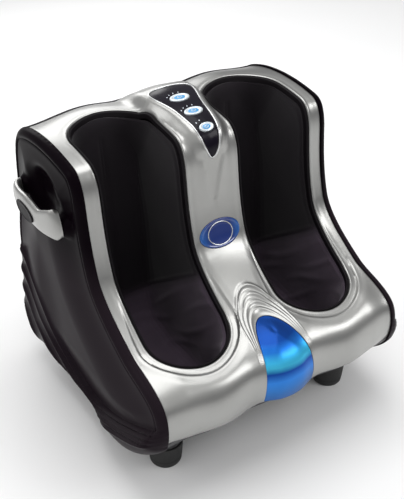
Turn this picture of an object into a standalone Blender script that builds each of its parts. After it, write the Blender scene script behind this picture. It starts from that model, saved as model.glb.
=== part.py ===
"""Foot and leg massager: a silver front cover with two leg wells, black side panels with carrying
handles, fabric liners, a control panel, and the motor-driven kneading paddles inside.

Frame: metres, +Z up, +X to the right of someone facing the toe end, the toe end at -Y.
The origin is on the floor, under the centre of the massager.
"""

from math import cos, hypot, pi, radians, sin, sqrt

import bmesh
import bpy
from mathutils import Matrix, Vector
from mathutils.geometry import delaunay_2d_cdt

MM = 0.001

# Overall sizes
SEAM_HALF = 200 * MM        # centre plane to the seam between front cover and side panel
DEPTH = 438 * MM            # toe to rear cover
BODY_HEIGHT = 454 * MM      # floor to the crest of the seam
GROUND_GAP = 42 * MM        # floor to the underside of the base tray

# Fits
FIT = 0.4 * MM              # between pieces that are screwed or glued together
RUN = 0.5 * MM              # between pieces that move past each other
OVERRUN = 5 * MM            # how far a cutter passes the face that it cuts

# Walls
COVER_WALL = 3 * MM
PANEL_WALL = 3.4 * MM
REAR_WALL = 2.6 * MM
TRAY_WALL = 3 * MM
LINER_WALL = 2.4 * MM

# Side outline of the front cover, from the rear top edge to the toe's lower edge: a chain of
# cubic curves, as shares of DEPTH from the centre and of BODY_HEIGHT from the floor
COVER_OUTLINE_SHARES = (
    (0.406, 0.960), (0.297, 1.009), (0.137, 1.004),
    (0.046, 0.987), (0.014, 0.981), (-0.007, 0.947),
    (-0.014, 0.886), (-0.022, 0.813), (-0.030, 0.738),
    (-0.062, 0.652), (-0.087, 0.584), (-0.183, 0.529),
    (-0.274, 0.484), (-0.324, 0.463), (-0.402, 0.461),
    (-0.450, 0.419), (-0.480, 0.392), (-0.486, 0.330), (-0.470, 0.282),
)

# Rear cover, from the tray up to its top edge, in the same shares; flat in the middle
REAR_OUTLINE_SHARES = (
    (0.452, 0.105), (0.488, 0.140), (0.5, 0.190),
    (0.5, 0.260), (0.5, 0.340), (0.5, 0.420),
    (0.5, 0.500), (0.5, 0.600), (0.492, 0.680),
    (0.482, 0.770), (0.470, 0.880), (0.450, 0.945), (0.407, 0.958),
)

# Underside of the toe, from the front cover's lower edge to the flat of the tray: shares of
# DEPTH, and of the way up from the tray's underside to the cover's lower edge
TOE_UNDER_SHARES = (
    (-0.470, 0.995), (-0.468, 0.88), (-0.450, 0.76),
    (-0.400, 0.50), (-0.355, 0.28), (-0.290, 0.02), (-0.180, 0.0),
)
HEEL_UNDER_SHARES = ((0.360, 0.0), (0.420, 0.0), (0.438, 0.005), (0.4495, 0.035))

# Floor of a leg well on its centre line, from the calf rest's top to the toe end, in the shares
# of the cover's outline
WELL_FLOOR_SHARES = (
    (0.286, 0.955), (0.272, 0.840), (0.236, 0.660),
    (0.226, 0.510), (0.219, 0.400), (0.219, 0.270),
    (0.160, 0.222), (0.110, 0.181), (0.040, 0.178),
    (-0.050, 0.178), (-0.160, 0.180), (-0.300, 0.195), (-0.372, 0.255),
)

# Leg wells
WELL_CENTRE = 0.555 * SEAM_HALF  # centre plane to a well's centre line
WELL_HALF = 66 * MM
REAR_LEDGE = 45 * MM        # along the surface, rear top edge to a well
TOE_LEDGE = 96 * MM         # along the surface, a well to the toe's lower edge
COLLAR_DROP = 4 * MM        # the ring around a well lies this much lower
COLLAR_WIDTH = 11 * MM
COLLAR_SLOPE = 9 * MM

# Relief of the front cover
CONSOLE_RISE = 20 * MM
CONSOLE_LENGTH = 275 * MM
CONSOLE_RIM = 5 * MM        # silver border round the control panel, level with it
CONSOLE_FLANK = 16 * MM
CONSOLE_SHARES = (
    (0.0, 0.12), (0.07, 0.30), (0.12, 0.62), (0.20, 0.86), (0.30, 1.05), (0.42, 0.74),
    (0.54, 0.60), (0.66, 0.40), (0.78, 0.12), (1.0, 0.0),
)
REAR_LOBE = 9 * MM
REAR_LOBE_REACH = 110 * MM
TOE_LOBE = 8 * MM
TOE_LOBE_HALF = 62 * MM
NOSE_RISE = 9 * MM
NOSE_HALF = 62 * MM
NOSE_REACH = 130 * MM
CROWN = 5 * MM
CROWN_EDGE = 40 * MM

# Control panel: outline of its right half in shares of its half width and of its length
PANEL_START = 63 * MM       # along the surface, rear top edge to the control panel
PANEL_LENGTH = 139 * MM
PANEL_HALF = 34 * MM
PANEL_THICK = 2.4 * MM
PANEL_PROUD = 0.4 * MM
PANEL_OUTLINE_SHARES = (
    (0.0, 0.0), (0.50, 0.0), (1.0, 0.02),
    (1.0, 0.12), (1.0, 0.22), (0.74, 0.34),
    (0.65, 0.48), (0.58, 0.62), (0.48, 0.84),
    (0.15, 0.968), (0.10, 0.99), (0.04, 1.0), (0.0, 1.0),
)

# Push buttons: place along the control panel, half length and half breadth, as shares of
# PANEL_LENGTH and of the mode button's half length
BUTTON_HALF = 16 * MM
BUTTON_TRAVEL = 1.2 * MM
BUTTON_PROUD = 2.2 * MM
BUTTON_CLEAR = 0.8 * MM
BUTTON_STEM_RADIUS = 3 * MM
BUTTON_SHARES = {
    "mode_button": (0.280, 1.0, 0.54),
    "speed_button": (0.536, 0.94, 0.50),
    "power_button": (0.750, 0.81, 0.42),
}

# Control board under the console
BOARD_THICK = 1.6 * MM
BOARD_DROP = 20 * MM        # the panel's face to the board
SWITCH_SIDE = 6 * MM
SWITCH_HEIGHT = 5 * MM

# Toe lens and badge
LENS_LENGTH = 128 * MM      # along the surface, up from the toe's lower edge
LENS_HALF = 43 * MM
LENS_THICK = 3 * MM
LENS_SEAT = 1.6 * MM
BADGE_PLACE = 273 * MM      # along the surface, toe's lower edge to the badge's centre
BADGE_HALF_WIDTH = 35 * MM
BADGE_HALF_LENGTH = 23 * MM
BADGE_THICK = 2.6 * MM
BADGE_SEAT = 1.2 * MM

# Opening rings
RING_WIDTH = 3.6 * MM
RING_DEPTH = 9 * MM
RING_PROUD = 0.8 * MM

# Liners
LINER_NARROWING = 8 * MM    # each wall stands in from the ring by this much

# Side panels
PANEL_RIM = 12 * MM         # radius of the rounded rim
PANEL_BULGE = 13 * MM
PANEL_BULGE_REACH = 90 * MM
RIM_PROUD = 2.4 * MM        # the panel's rim over the covers' faces
SKIRT_OUT = 34 * MM         # the seam to the flared skirt below the swoosh line
SKIRT_STEP = 28 * MM
SKIRT_REACH = 44 * MM       # the rim to the full height of the skirt
SKIRT_ROW = 13 * MM
# The swoosh line over the panel as a cubic chain: back from the middle, in shares of DEPTH, and
# height in shares of BODY_HEIGHT
SWOOSH_SHARES = (
    (0.530, 0.452), (0.468, 0.432), (0.377, 0.432), (0.308, 0.396),
    (0.247, 0.361), (0.237, 0.308), (0.178, 0.233),
    (0.103, 0.154), (0.000, 0.115), (-0.091, 0.154),
    (-0.217, 0.207), (-0.342, 0.278), (-0.491, 0.363),
)
RECESS_DEPTH = 17 * MM
RECESS_HALF_LENGTH = 60 * MM
RECESS_HALF_HEIGHT = 40 * MM
RECESS_SHARES = (0.213, 0.842)

# Handles
HANDLE_SPAN = 128 * MM
HANDLE_OUT = 18.5 * MM      # the panel to the bow's centre line
HANDLE_HALF_THICK = 6 * MM
HANDLE_PLACE_SHARES = (0.212, 0.786)
HANDLE_BOW_SHARES = (
    (0.0, 0.0), (0.0, 0.50), (0.10, 0.90), (0.28, 0.97), (0.42, 1.01), (0.58, 1.01),
    (0.72, 0.97), (0.90, 0.90), (1.0, 0.50), (1.0, 0.0),
)
HANDLE_HALF_HEIGHT = 16 * MM
HANDLE_HEIGHT_SHARES = ((0.0, 1.35), (0.22, 1.25), (0.5, 1.0), (0.8, 0.95), (1.0, 0.9))
HANDLE_BOSS_GROW = 2.5 * MM
HANDLE_PLATE_HALF_LENGTH = 24 * MM
HANDLE_PLATE_HALF_HEIGHT = 9 * MM
HANDLE_PLATE_THICK = 1.6 * MM

# Feet
FOOT_RADIUS = 28 * MM
FOOT_TAPER = 4 * MM
FOOT_ROUND = 3 * MM
FOOT_FRONT_X = SEAM_HALF - 42 * MM
FOOT_REAR_X = SEAM_HALF - 50 * MM
FOOT_FRONT_SHARE = -0.290
FOOT_REAR_SHARE = 0.330
FOOT_SCREW_RADIUS = 5 * MM
FOOT_BOSS = 17 * MM         # boss in the rising part of the tray, over a front foot

# Chassis: a steel base plate with two uprights
CHASSIS_THICK = 3 * MM
CHASSIS_CLEAR = 2.6 * MM    # cover's seam edge to an upright
CHASSIS_FRONT_SHARE = -0.215
CHASSIS_REAR_SHARE = 0.415
UPRIGHT_FRONT_SHARE = 0.210
UPRIGHT_REAR_SHARE = 0.420
UPRIGHT_TOP_SHARE = 0.700
TRAY_RIB_HEIGHT = 5 * MM
TRAY_RIB_THICK = 4 * MM

# Shafts, with the ball hubs that carry the paddles
SHAFT_RADIUS = 6 * MM
UPPER_SHAFT_SHARES = (0.328, 0.595)
LOWER_SHAFT_SHARES = (0.272, 0.216)
HUB_RADIUS = 20 * MM
HUB_HALF_WIDTH = 8 * MM
PADDLE_THICK = 5 * MM
PADDLE_RING_THICK = 10 * MM
PADDLE_RING_WALL = 7 * MM
PADDLE_INNER_X = WELL_CENTRE - WELL_HALF - 4 * MM
PADDLE_OUTER_X = WELL_CENTRE + WELL_HALF + 4.5 * MM
GUIDE_RADIUS = 4 * MM
GUIDE_OFFSET = 34 * MM
PADDLE_TAIL_HALF = 9 * MM
PADDLE_TAIL_END = 8 * MM
BEARING_HALF = 17 * MM
BEARING_THICK = 9 * MM

# Paddle outlines as cubic chains: reach forward of the shaft and height above it, in shares of
# the paddle's reach
CALF_REACH = 118 * MM
CALF_PADDLE_SHARES = (
    (0.10, -0.24), (0.30, -0.36), (0.52, -0.58), (0.78, -0.56),
    (1.02, -0.54), (1.04, -0.20), (0.98, 0.12),
    (0.94, 0.44), (0.92, 0.66), (0.70, 0.66),
    (0.46, 0.66), (0.30, 0.34), (0.10, 0.24),
)
FOOT_REACH = 205 * MM
FOOT_PADDLE_SHARES = (
    (0.06, -0.135), (0.20, -0.11), (0.36, -0.10), (0.60, -0.09),
    (0.86, -0.08), (1.0, -0.04), (1.0, 0.10),
    (1.0, 0.25), (0.86, 0.27), (0.66, 0.26),
    (0.40, 0.25), (0.22, 0.20), (0.06, 0.135),
)
NUB_RADIUS = 7 * MM
NUB_RISE = 1.4 * MM
CALF_NUB_SHARES = ((0.72, -0.32), (0.76, 0.02), (0.70, 0.36))
FOOT_NUB_SHARES = ((0.45, 0.06), (0.66, 0.08), (0.87, 0.09))

# Gearbox, motor and belt drive, all in the centre column
WHEEL_RADIUS = 24 * MM
WHEEL_THICK = 11 * MM
WHEEL_TEETH = 24
TOOTH_HEIGHT = 2.2 * MM
WORM_RADIUS = 6.5 * MM
WORM_RIDGES = 5
WORM_SHAFT_RADIUS = 4 * MM
GEARBOX_WALL = 4 * MM
GEARBOX_HALF_WIDTH = 16 * MM
GEARBOX_X = -8 * MM
MOTOR_RADIUS = 26 * MM
MOTOR_LENGTH = 92 * MM
MOTOR_BOSS_RADIUS = 12 * MM
MOTOR_BOSS_LENGTH = 7 * MM
PULLEY_RADIUS = 22 * MM
PULLEY_WIDTH = 12 * MM
PULLEY_FLANGE = 2.5 * MM
PULLEY_FLANGE_THICK = 1.2 * MM
BELT_THICK = 2 * MM

# Foot beds under the liners' soles
BED_HALF_WIDTH = 47 * MM
BED_FRONT_SHARE = -0.160
BED_REAR_SHARE = 0.110
BED_WALL = 3 * MM
BED_CLEAR = 1.5 * MM
BED_NUB_RADIUS = 6 * MM
BED_NUB_RISE = 2.4 * MM

# Power inlet, switch, fuse and transformer at the rear
INLET_X = 118 * MM
REAR_FITTINGS_SHARE = 0.360   # height of the inlet, switch and fuse
INLET_HALF_WIDTH = 14 * MM
INLET_HALF_HEIGHT = 10 * MM
INLET_WALL = 3 * MM
INLET_DEPTH = 17 * MM
INLET_FLANGE = 5 * MM
INLET_FLANGE_THICK = 2.4 * MM
PIN_THICK = 2 * MM
PIN_HEIGHT = 5 * MM
PIN_LENGTH = 8 * MM
PIN_PITCH = 7 * MM
SWITCH_X = 70 * MM
ROCKER_HALF_WIDTH = 6.5 * MM
ROCKER_HALF_HEIGHT = 10 * MM
ROCKER_RISE = 2.4 * MM
ROCKER_DEPTH = 7 * MM
ROCKER_FRAME = 3 * MM
ROCKER_FRAME_DEPTH = 14 * MM
FUSE_X = 36 * MM
FUSE_RADIUS = 7 * MM
FUSE_PROUD = 6.2 * MM
FUSE_DEPTH = 20 * MM
TRANSFORMER_X = 118 * MM
TRANSFORMER_SIZE = (62 * MM, 30 * MM, 34 * MM)
VENT_COUNT = 5
VENT_PITCH = 9 * MM
VENT_HEIGHT = 3 * MM
VENT_HALF_LENGTH = 45 * MM
VENT_SHARE = 0.600

# How finely curves are drawn
CURVE_STEPS = 10
GRID_SPACING = 36 * MM
FINE_SPACING = 16 * MM
ROUND_STEPS = 20
NORMAL_REACH = 2 * MM

LEFT, RIGHT = -1, 1
SIDES = (("left", LEFT), ("right", RIGHT))


def ease(share):
    """A smooth step from 0 to 1."""
    share = min(max(share, 0.0), 1.0)
    return share * share * (3 - 2 * share)


def plateau(distance, half, edge):
    """1 within half of the centre, easing to 0 over the edge beyond it."""
    return 1 - ease((abs(distance) - half) / edge)


def along(table, share):
    """A value between the rows of a table of (share, value)."""
    if share <= table[0][0]:
        return table[0][1]
    for (low, first), (high, last) in zip(table, table[1:]):
        if share <= high:
            return first + (last - first) * (share - low) / (high - low)
    return table[-1][1]


def cubic_chain(points, steps=CURVE_STEPS):
    """Points along a chain of cubic curves: an end, then two handles and an end for each curve."""
    line = [Vector(points[0])]
    for first in range(0, len(points) - 1, 3):
        start, leave, arrive, end = (Vector(p) for p in points[first:first + 4])
        for step in range(1, steps + 1):
            t = step / steps
            u = 1 - t
            line.append(u**3 * start + 3 * u * u * t * leave + 3 * u * t * t * arrive + t**3 * end)
    return line


class Line:
    """A polyline in a side view, measured along its length."""

    def __init__(self, points):
        self.points = [Vector(p) for p in points]
        self.marks = [0.0]
        for a, b in zip(self.points, self.points[1:]):
            self.marks.append(self.marks[-1] + (b - a).length)
        self.length = self.marks[-1]

    def at(self, s):
        last = len(self.points) - 2
        i = 0
        while i < last and self.marks[i + 1] < s:
            i += 1
        share = (s - self.marks[i]) / (self.marks[i + 1] - self.marks[i])
        return self.points[i].lerp(self.points[i + 1], share)

    def outward(self, s):
        """The unit normal that points to the left of someone going back along the line."""
        run = (self.at(s + NORMAL_REACH) - self.at(s - NORMAL_REACH)).normalized()
        return Vector((run.y, -run.x))


def in_shares(points, low=0.0, height=BODY_HEIGHT):
    return [(y * DEPTH, low + z * height) for y, z in points]


COVER_LINE = Line(cubic_chain(in_shares(COVER_OUTLINE_SHARES)))
REAR_LINE = Line(cubic_chain(in_shares(REAR_OUTLINE_SHARES)))
FLOOR_LINE = Line(cubic_chain(in_shares(WELL_FLOOR_SHARES)))
TOE_EDGE_Z = COVER_LINE.points[-1].y
TOE_UNDER = cubic_chain(in_shares(TOE_UNDER_SHARES, GROUND_GAP, TOE_EDGE_Z - GROUND_GAP))
SWOOSH_LINE = cubic_chain(in_shares(SWOOSH_SHARES))
HEEL_UNDER = cubic_chain(in_shares(HEEL_UNDER_SHARES, GROUND_GAP, TOE_EDGE_Z - GROUND_GAP), 5)
WELL_START = REAR_LEDGE
WELL_END = COVER_LINE.length - TOE_LEDGE


def inside(point, loop):
    hit = False
    for a, b in zip(loop, loop[1:] + loop[:1]):
        if (a[1] > point[1]) != (b[1] > point[1]):
            cross = a[0] + (b[0] - a[0]) * (point[1] - a[1]) / (b[1] - a[1])
            if point[0] < cross:
                hit = not hit
    return hit


def loop_distance(point, loop):
    """Distance from a point to a closed loop."""
    nearest = None
    here = Vector(point)
    for a, b in zip(loop, loop[1:] + loop[:1]):
        a, b = Vector(a), Vector(b)
        run = b - a
        share = min(max((here - a).dot(run) / run.length_squared, 0.0), 1.0)
        gap = (here - a - run * share).length
        nearest = gap if nearest is None else min(nearest, gap)
    return nearest


def inset_loop(loop, by):
    """A loop moved inwards by a distance; the loop runs anticlockwise."""
    moved = []
    for before, here, after in zip(loop[-1:] + loop[:-1], loop, loop[1:] + loop[:1]):
        run = (Vector(after) - Vector(before)).normalized()
        moved.append(Vector(here) + Vector((-run.y, run.x)) * by)
    return moved


def panel_loop(grow=0.0):
    """The control panel's outline on the cover, anticlockwise, grown by a distance."""
    half = cubic_chain(PANEL_OUTLINE_SHARES, 4)
    right = [Vector((p.x * PANEL_HALF, PANEL_START + p.y * PANEL_LENGTH)) for p in half]
    left = [Vector((-p.x, p.y)) for p in reversed(right[1:-1])]
    return inset_loop(right + left, -grow) if grow else right + left


PANEL_LOOP = panel_loop()
CONSOLE_LINE_SHARES = cubic_chain(CONSOLE_SHARES)


def well_distance(x, s):
    """Distance from a place on the cover to the nearer well's edge, negative inside the well."""
    first, last = WELL_START + WELL_HALF, WELL_END - WELL_HALF
    beyond = max(first - s, s - last, 0.0)
    return hypot(abs(x) - WELL_CENTRE, beyond) - WELL_HALF


def rear_lobe(x):
    """How much the rear top edge stands up behind each leg and behind the console."""
    behind_leg = plateau(abs(x) - WELL_CENTRE, 0.0, WELL_HALF + WELL_HALF / 3)
    behind_console = plateau(x, 0.0, WELL_HALF)
    return REAR_LOBE * (behind_leg + 0.8 * behind_console)


def relief(x, s):
    """Height of the front cover's surface over its side outline."""
    rise = along(CONSOLE_LINE_SHARES, s / CONSOLE_LENGTH) * CONSOLE_RISE
    if rise:
        by_panel = min(max(s, PANEL_START + PANEL_LENGTH / 10), PANEL_START + PANEL_LENGTH)
        away = 0.0 if inside((x, by_panel), PANEL_LOOP) else loop_distance((x, by_panel), PANEL_LOOP)
        rise *= plateau(away, CONSOLE_RIM, CONSOLE_FLANK)
    middle = ease((SEAM_HALF - abs(x)) / CROWN_EDGE)
    rise += CROWN * middle * ease(s / CONSOLE_LENGTH)
    toe_end = ease((s - WELL_END + 2 * WELL_HALF) / WELL_HALF)
    collar = 1 - ease((well_distance(x, s) - COLLAR_WIDTH) / COLLAR_SLOPE)
    return rise - COLLAR_DROP * collar * (0.3 + 0.7 * toe_end)


def toe_lobe(x):
    """How much the toe's lower edge stands out before each leg and at the nose."""
    before_leg = plateau(abs(x) - WELL_CENTRE, 0.0, TOE_LOBE_HALF)
    return TOE_LOBE * before_leg + NOSE_RISE * plateau(x, 0.0, NOSE_HALF)


def on_cover(x, s, above=0.0):
    """A point over the front cover's surface."""
    y, z = COVER_LINE.at(s) + COVER_LINE.outward(s) * (relief(x, s) + above)
    z += rear_lobe(x) * (1 - ease(s / REAR_LOBE_REACH))
    y -= toe_lobe(x) * ease((s - COVER_LINE.length + NOSE_REACH) / NOSE_REACH)
    return Vector((x, y, z))


def cover_axis(s):
    """The cover's outward direction at a place on the centre plane."""
    run = on_cover(0.0, s + FINE_SPACING / 2) - on_cover(0.0, s - FINE_SPACING / 2)
    return Vector((0.0, run.z, -run.y)).normalized()


def grid_points(loop, spacing, clear, holes=(), lines=()):
    """Points of a staggered grid inside a loop, clear of it, of its holes and of other loops."""
    low = Vector((min(p[0] for p in loop), min(p[1] for p in loop)))
    high = Vector((max(p[0] for p in loop), max(p[1] for p in loop)))
    columns = max(2, round((high.x - low.x) / spacing))
    rows = max(2, round((high.y - low.y) / spacing))
    kept = []
    for j in range(1, rows):
        for i in range(1, columns):
            x = low.x + (high.x - low.x) * (i + 0.25 * (-1)**j) / columns
            y = low.y + (high.y - low.y) * j / rows
            if not inside((x, y), loop) or loop_distance((x, y), loop) < clear:
                continue
            if any(inside((x, y), h) for h in holes):
                continue
            if any(loop_distance((x, y), line) < clear for line in (*holes, *lines)):
                continue
            kept.append((x, y))
    return kept


def triangles_in(loop, holes=(), inner_loops=(), inner_points=()):
    """A triangulation of a flat loop: (points, triangles). The loop's own points come first."""
    points, edges = [], []
    for closed in (loop, *holes, *inner_loops):
        first = len(points)
        points += [Vector((p[0], p[1])) for p in closed]
        edges += [(first + i, first + (i + 1) % len(closed)) for i in range(len(closed))]
    points += [Vector(p) for p in inner_points]
    made, _, faces, origins, _, _ = delaunay_2d_cdt(points, edges, [], 0, MM / 1000)
    place = {o: i for i, group in enumerate(origins) for o in group}
    order = [place[i] for i in range(len(points)) if i in place] + list(range(len(made)))
    rank = {old: new for new, old in enumerate(dict.fromkeys(order))}
    ordered = [made[old] for old in rank]
    kept = []
    for face in faces:
        middle = sum((made[i] for i in face), Vector((0, 0))) / 3
        if inside(middle, loop) and not any(inside(middle, h) for h in holes):
            kept.append(tuple(rank[i] for i in face))
    return ordered, kept


def edge_runs(triangles):
    """The directed edges that only one triangle uses."""
    runs = {}
    for a, b, c in triangles:
        for run in ((a, b), (b, c), (c, a)):
            runs[run] = True
    return [run for run in runs if (run[1], run[0]) not in runs]


def new_object(name, mesh, material, body):
    made = bpy.data.objects.new(name, mesh)
    bpy.context.scene.collection.objects.link(made)
    if material:
        mesh.materials.clear()
        mesh.materials.append(material)
    made.parent = body
    return made


def solid(name, points, faces, material, body=None):
    """An object from points and faces, with its faces pointing out and its round sides smooth."""
    form = bmesh.new()
    for p in points:
        form.verts.new(p)
    form.verts.ensure_lookup_table()
    for face in faces:
        form.faces.new([form.verts[i] for i in face])
    loose = [v for v in form.verts if not v.link_faces]
    bmesh.ops.delete(form, geom=loose, context="VERTS")
    bmesh.ops.recalc_face_normals(form, faces=form.faces)
    mesh = bpy.data.meshes.new(name)
    form.to_mesh(mesh)
    form.free()
    smooth(mesh)
    return new_object(name, mesh, material, body)


def smooth(mesh):
    mesh.shade_smooth()
    mesh.set_sharp_from_angle(angle=radians(35))


def sheet(name, flat, low, high, material, body=None):
    """A closed wall between two surfaces over one flat triangulation."""
    points, triangles = flat
    count = len(points)
    faces = list(triangles) + [tuple(count + i for i in reversed(t)) for t in triangles]
    faces += [(b, a, a + count, b + count) for a, b in edge_runs(triangles)]
    shape = [high(p) for p in points] + [low(p) for p in points]
    return solid(name, shape, faces, material, body)


def two_skins(name, outer, inner, outer_place, inner_place, material, body=None):
    """A closed dish between two triangulations whose loops have as many points as each other."""
    count = len(outer[0])
    rim = edge_runs(outer[1])
    faces = list(outer[1]) + [tuple(count + i for i in reversed(t)) for t in inner[1]]
    faces += [(b, a, a + count, b + count) for a, b in rim]
    shape = [outer_place(p) for p in outer[0]] + [inner_place(p) for p in inner[0]]
    return solid(name, shape, faces, material, body)


def cut(target, *cutters, operation="DIFFERENCE"):
    """Applies a Boolean with each cutter in turn, and removes the cutters."""
    for cutter in cutters:
        boolean = target.modifiers.new("cut", "BOOLEAN")
        boolean.operation = operation
        boolean.solver = "EXACT"
        boolean.object = cutter
        bpy.context.view_layer.update()
        graph = bpy.context.evaluated_depsgraph_get()
        made = bpy.data.meshes.new_from_object(target.evaluated_get(graph))
        target.modifiers.clear()
        target.data = made
        bpy.data.objects.remove(cutter)
    smooth(target.data)
    return target


def join(target, *others):
    return cut(target, *others, operation="UNION")


def box(name, low, high, material=None, body=None):
    """A box between two corners."""
    corners = [(x, y, z) for x in (low[0], high[0]) for y in (low[1], high[1]) for z in (low[2], high[2])]
    faces = [(0, 1, 3, 2), (4, 6, 7, 5), (0, 4, 5, 1), (2, 3, 7, 6), (0, 2, 6, 4), (1, 5, 7, 3)]
    return solid(name, corners, faces, material, body)


def turned(name, profile, centre, axis, material=None, body=None, steps=ROUND_STEPS):
    """A solid turned about an axis: the profile is a list of (distance along, radius)."""
    spin = Vector((0, 0, 1)).rotation_difference(Vector(axis)).to_matrix()
    points, faces, rings = [], [], []
    for along, radius in profile:
        if radius == 0:
            rings.append([len(points)])
            points.append(Vector(centre) + spin @ Vector((0, 0, along)))
            continue
        rings.append(list(range(len(points), len(points) + steps)))
        for i in range(steps):
            turn = 2 * pi * (i + 0.5) / steps
            points.append(Vector(centre) + spin @ Vector((radius * cos(turn), radius * sin(turn), along)))
    for one, two in zip(rings, rings[1:]):
        for i in range(steps):
            corners = [one[i % len(one)], one[(i + 1) % len(one)], two[(i + 1) % len(two)], two[i % len(two)]]
            faces.append(tuple(dict.fromkeys(corners)))
    for ring in (rings[0], rings[-1]):
        if len(ring) > 1:
            faces.append(tuple(ring))
    return solid(name, points, faces, material, body)


def cylinder(name, radius, start, length, axis, material=None, body=None, steps=ROUND_STEPS):
    return turned(name, [(0, radius), (length, radius)], start, axis, material, body, steps)


def plate_yz(name, outline, x_low, x_high, material=None, body=None):
    """A flat plate in the side view: its outline is a list of (y, z)."""
    flat = triangles_in(outline)
    return sheet(name, flat, lambda p: (x_low, p[0], p[1]), lambda p: (x_high, p[0], p[1]), material, body)


def finish(name, colour, roughness, metallic=0.0):
    """A plain shader for one of the massager's materials."""
    made = bpy.data.materials.new(name)
    made.use_nodes = True
    shader = made.node_tree.nodes["Principled BSDF"]
    shader.inputs["Base Color"].default_value = (*colour, 1)
    shader.inputs["Roughness"].default_value = roughness
    shader.inputs["Metallic"].default_value = metallic
    made.diffuse_color = (*colour, 1)
    return made


def pivot(name, place=(0, 0, 0)):
    """An empty on a joint's axis, which carries the pieces that move on it."""
    empty = bpy.data.objects.new(name, None)
    empty.location = place
    bpy.context.scene.collection.objects.link(empty)
    return empty


def carry(empty, *pieces):
    """Hangs pieces, drawn in place, on an empty, without moving them."""
    bpy.context.view_layer.update()
    for piece in pieces:
        piece.data.transform(Matrix.Translation(-empty.matrix_world.translation))
        piece.parent = empty


def thick(name, flat, place, wall, material, body=None):
    """A closed wall behind a surface: place gives the surface over a flat triangulation."""
    points = [Vector(place(p)) for p in flat[0]]
    normals = [Vector((0, 0, 0)) for _ in points]
    for a, b, c in flat[1]:
        facing = (points[b] - points[a]).cross(points[c] - points[a])
        for i in (a, b, c):
            normals[i] += facing
    back = {p[:]: q - n.normalized() * wall for p, q, n in zip(flat[0], points, normals)}
    front = {p[:]: q for p, q in zip(flat[0], points)}
    return sheet(name, flat, lambda p: back[p[:]], lambda p: front[p[:]], material, body)


def stadium(inset, centre=WELL_CENTRE, straight_steps=9, arc_steps=7):
    """A well's outline on the cover, anticlockwise, moved inwards by a distance."""
    radius = WELL_HALF - inset
    first, last = WELL_START + WELL_HALF, WELL_END - WELL_HALF
    loop = []
    for step in range(straight_steps):
        loop.append((centre + radius, first + (last - first) * step / straight_steps))
    for step in range(arc_steps):
        turn = pi * step / arc_steps
        loop.append((centre + radius * cos(turn), last + radius * sin(turn)))
    for step in range(straight_steps):
        loop.append((centre - radius, last + (first - last) * step / straight_steps))
    for step in range(arc_steps):
        turn = pi * step / arc_steps
        loop.append((centre - radius * cos(turn), first - radius * sin(turn)))
    return [Vector(p) for p in loop]


def ellipse(centre, half_x, half_y, steps=16):
    turns = [2 * pi * i / steps for i in range(steps)]
    return [Vector((centre[0] + half_x * cos(t), centre[1] + half_y * sin(t))) for t in turns]


def lens_loop(grow=0.0):
    """The toe lens on the cover: a pointed arch over the toe's lower edge."""
    top = COVER_LINE.length - LENS_LENGTH
    right = []
    for step in range(9):
        share = step / 8
        half = (LENS_HALF + grow) * sqrt(1 - (1 - share)**2) if share else 0.0
        right.append(Vector((half, top - grow + share * (LENS_LENGTH - LENS_FOOT + grow))))
    left = [Vector((-p.x, p.y)) for p in reversed(right[1:])]
    return right + left


LENS_FOOT = 2.4 * MM        # lens's lower edge to the toe's lower edge


def badge_place():
    return COVER_LINE.length - BADGE_PLACE


def button_loops(grow=0.0):
    """The outline of each push button on the cover, grown by a distance."""
    loops = {}
    for name, (place, long_share, broad_share) in BUTTON_SHARES.items():
        centre = (0.0, PANEL_START + place * PANEL_LENGTH)
        long_half = BUTTON_HALF * long_share + grow
        loops[name] = ellipse(centre, long_half, BUTTON_HALF * broad_share + grow)
    return loops


def badge_loop(grow=0.0):
    centre = (0.0, badge_place())
    return ellipse(centre, BADGE_HALF_WIDTH + grow, BADGE_HALF_LENGTH + grow, 16)


def rectangle_loop(half, length, long_steps, short_steps):
    """A rectangle on the cover from its rear edge, with points along its edges."""
    loop = [(-half + 2 * half * i / short_steps, 0.0) for i in range(short_steps)]
    loop += [(half, length * i / long_steps) for i in range(long_steps)]
    loop += [(half - 2 * half * i / short_steps, length) for i in range(short_steps)]
    loop += [(-half, length - length * i / long_steps) for i in range(long_steps)]
    return [Vector(p) for p in loop]


def make_front_cover(paint):
    """The silver front cover: one wall with holes for the two wells and the control panel."""
    outline = rectangle_loop(SEAM_HALF, COVER_LINE.length, 48, 16)
    holes = [stadium(0.0, side * WELL_CENTRE) for _, side in SIDES] + [panel_loop(FIT)]
    lines = [panel_loop(CONSOLE_RIM)]
    for _, side in SIDES:
        lines += [stadium(-COLLAR_WIDTH, side * WELL_CENTRE), stadium(-COLLAR_WIDTH - COLLAR_SLOPE,
                                                                      side * WELL_CENTRE)]
    seats = [lens_loop(3 * FIT), badge_loop(3 * FIT)]
    extra = grid_points(outline, GRID_SPACING, GRID_SPACING / 4, holes, lines + seats)
    extra = [p for p in extra if not any(inside(p, loop) for loop in seats)]
    for loop in lens_loop(), badge_loop():
        extra += grid_points(loop, FINE_SPACING, FINE_SPACING / 4)
    for step in range(1, 5):
        for side in LEFT, RIGHT:
            extra.append((side * CONSOLE_FLANK * 1.6, PANEL_START * step / 5))
    flat = triangles_in(outline, holes, lines + seats, extra)
    return sheet("front_cover", flat, lambda p: on_cover(p[0], p[1], -COVER_WALL),
                 lambda p: on_cover(p[0], p[1]), paint)


def cover_piece(name, loop, low, high, material, spacing=FINE_SPACING, holes=(), body=None):
    """A wall over a patch of the front cover, between two heights over its surface."""
    extra = grid_points(loop, spacing, spacing / 4, holes)
    flat = triangles_in(loop, holes, (), extra)
    return sheet(name, flat, lambda p: on_cover(p[0], p[1], low), lambda p: on_cover(p[0], p[1], high),
                 material, body)


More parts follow.
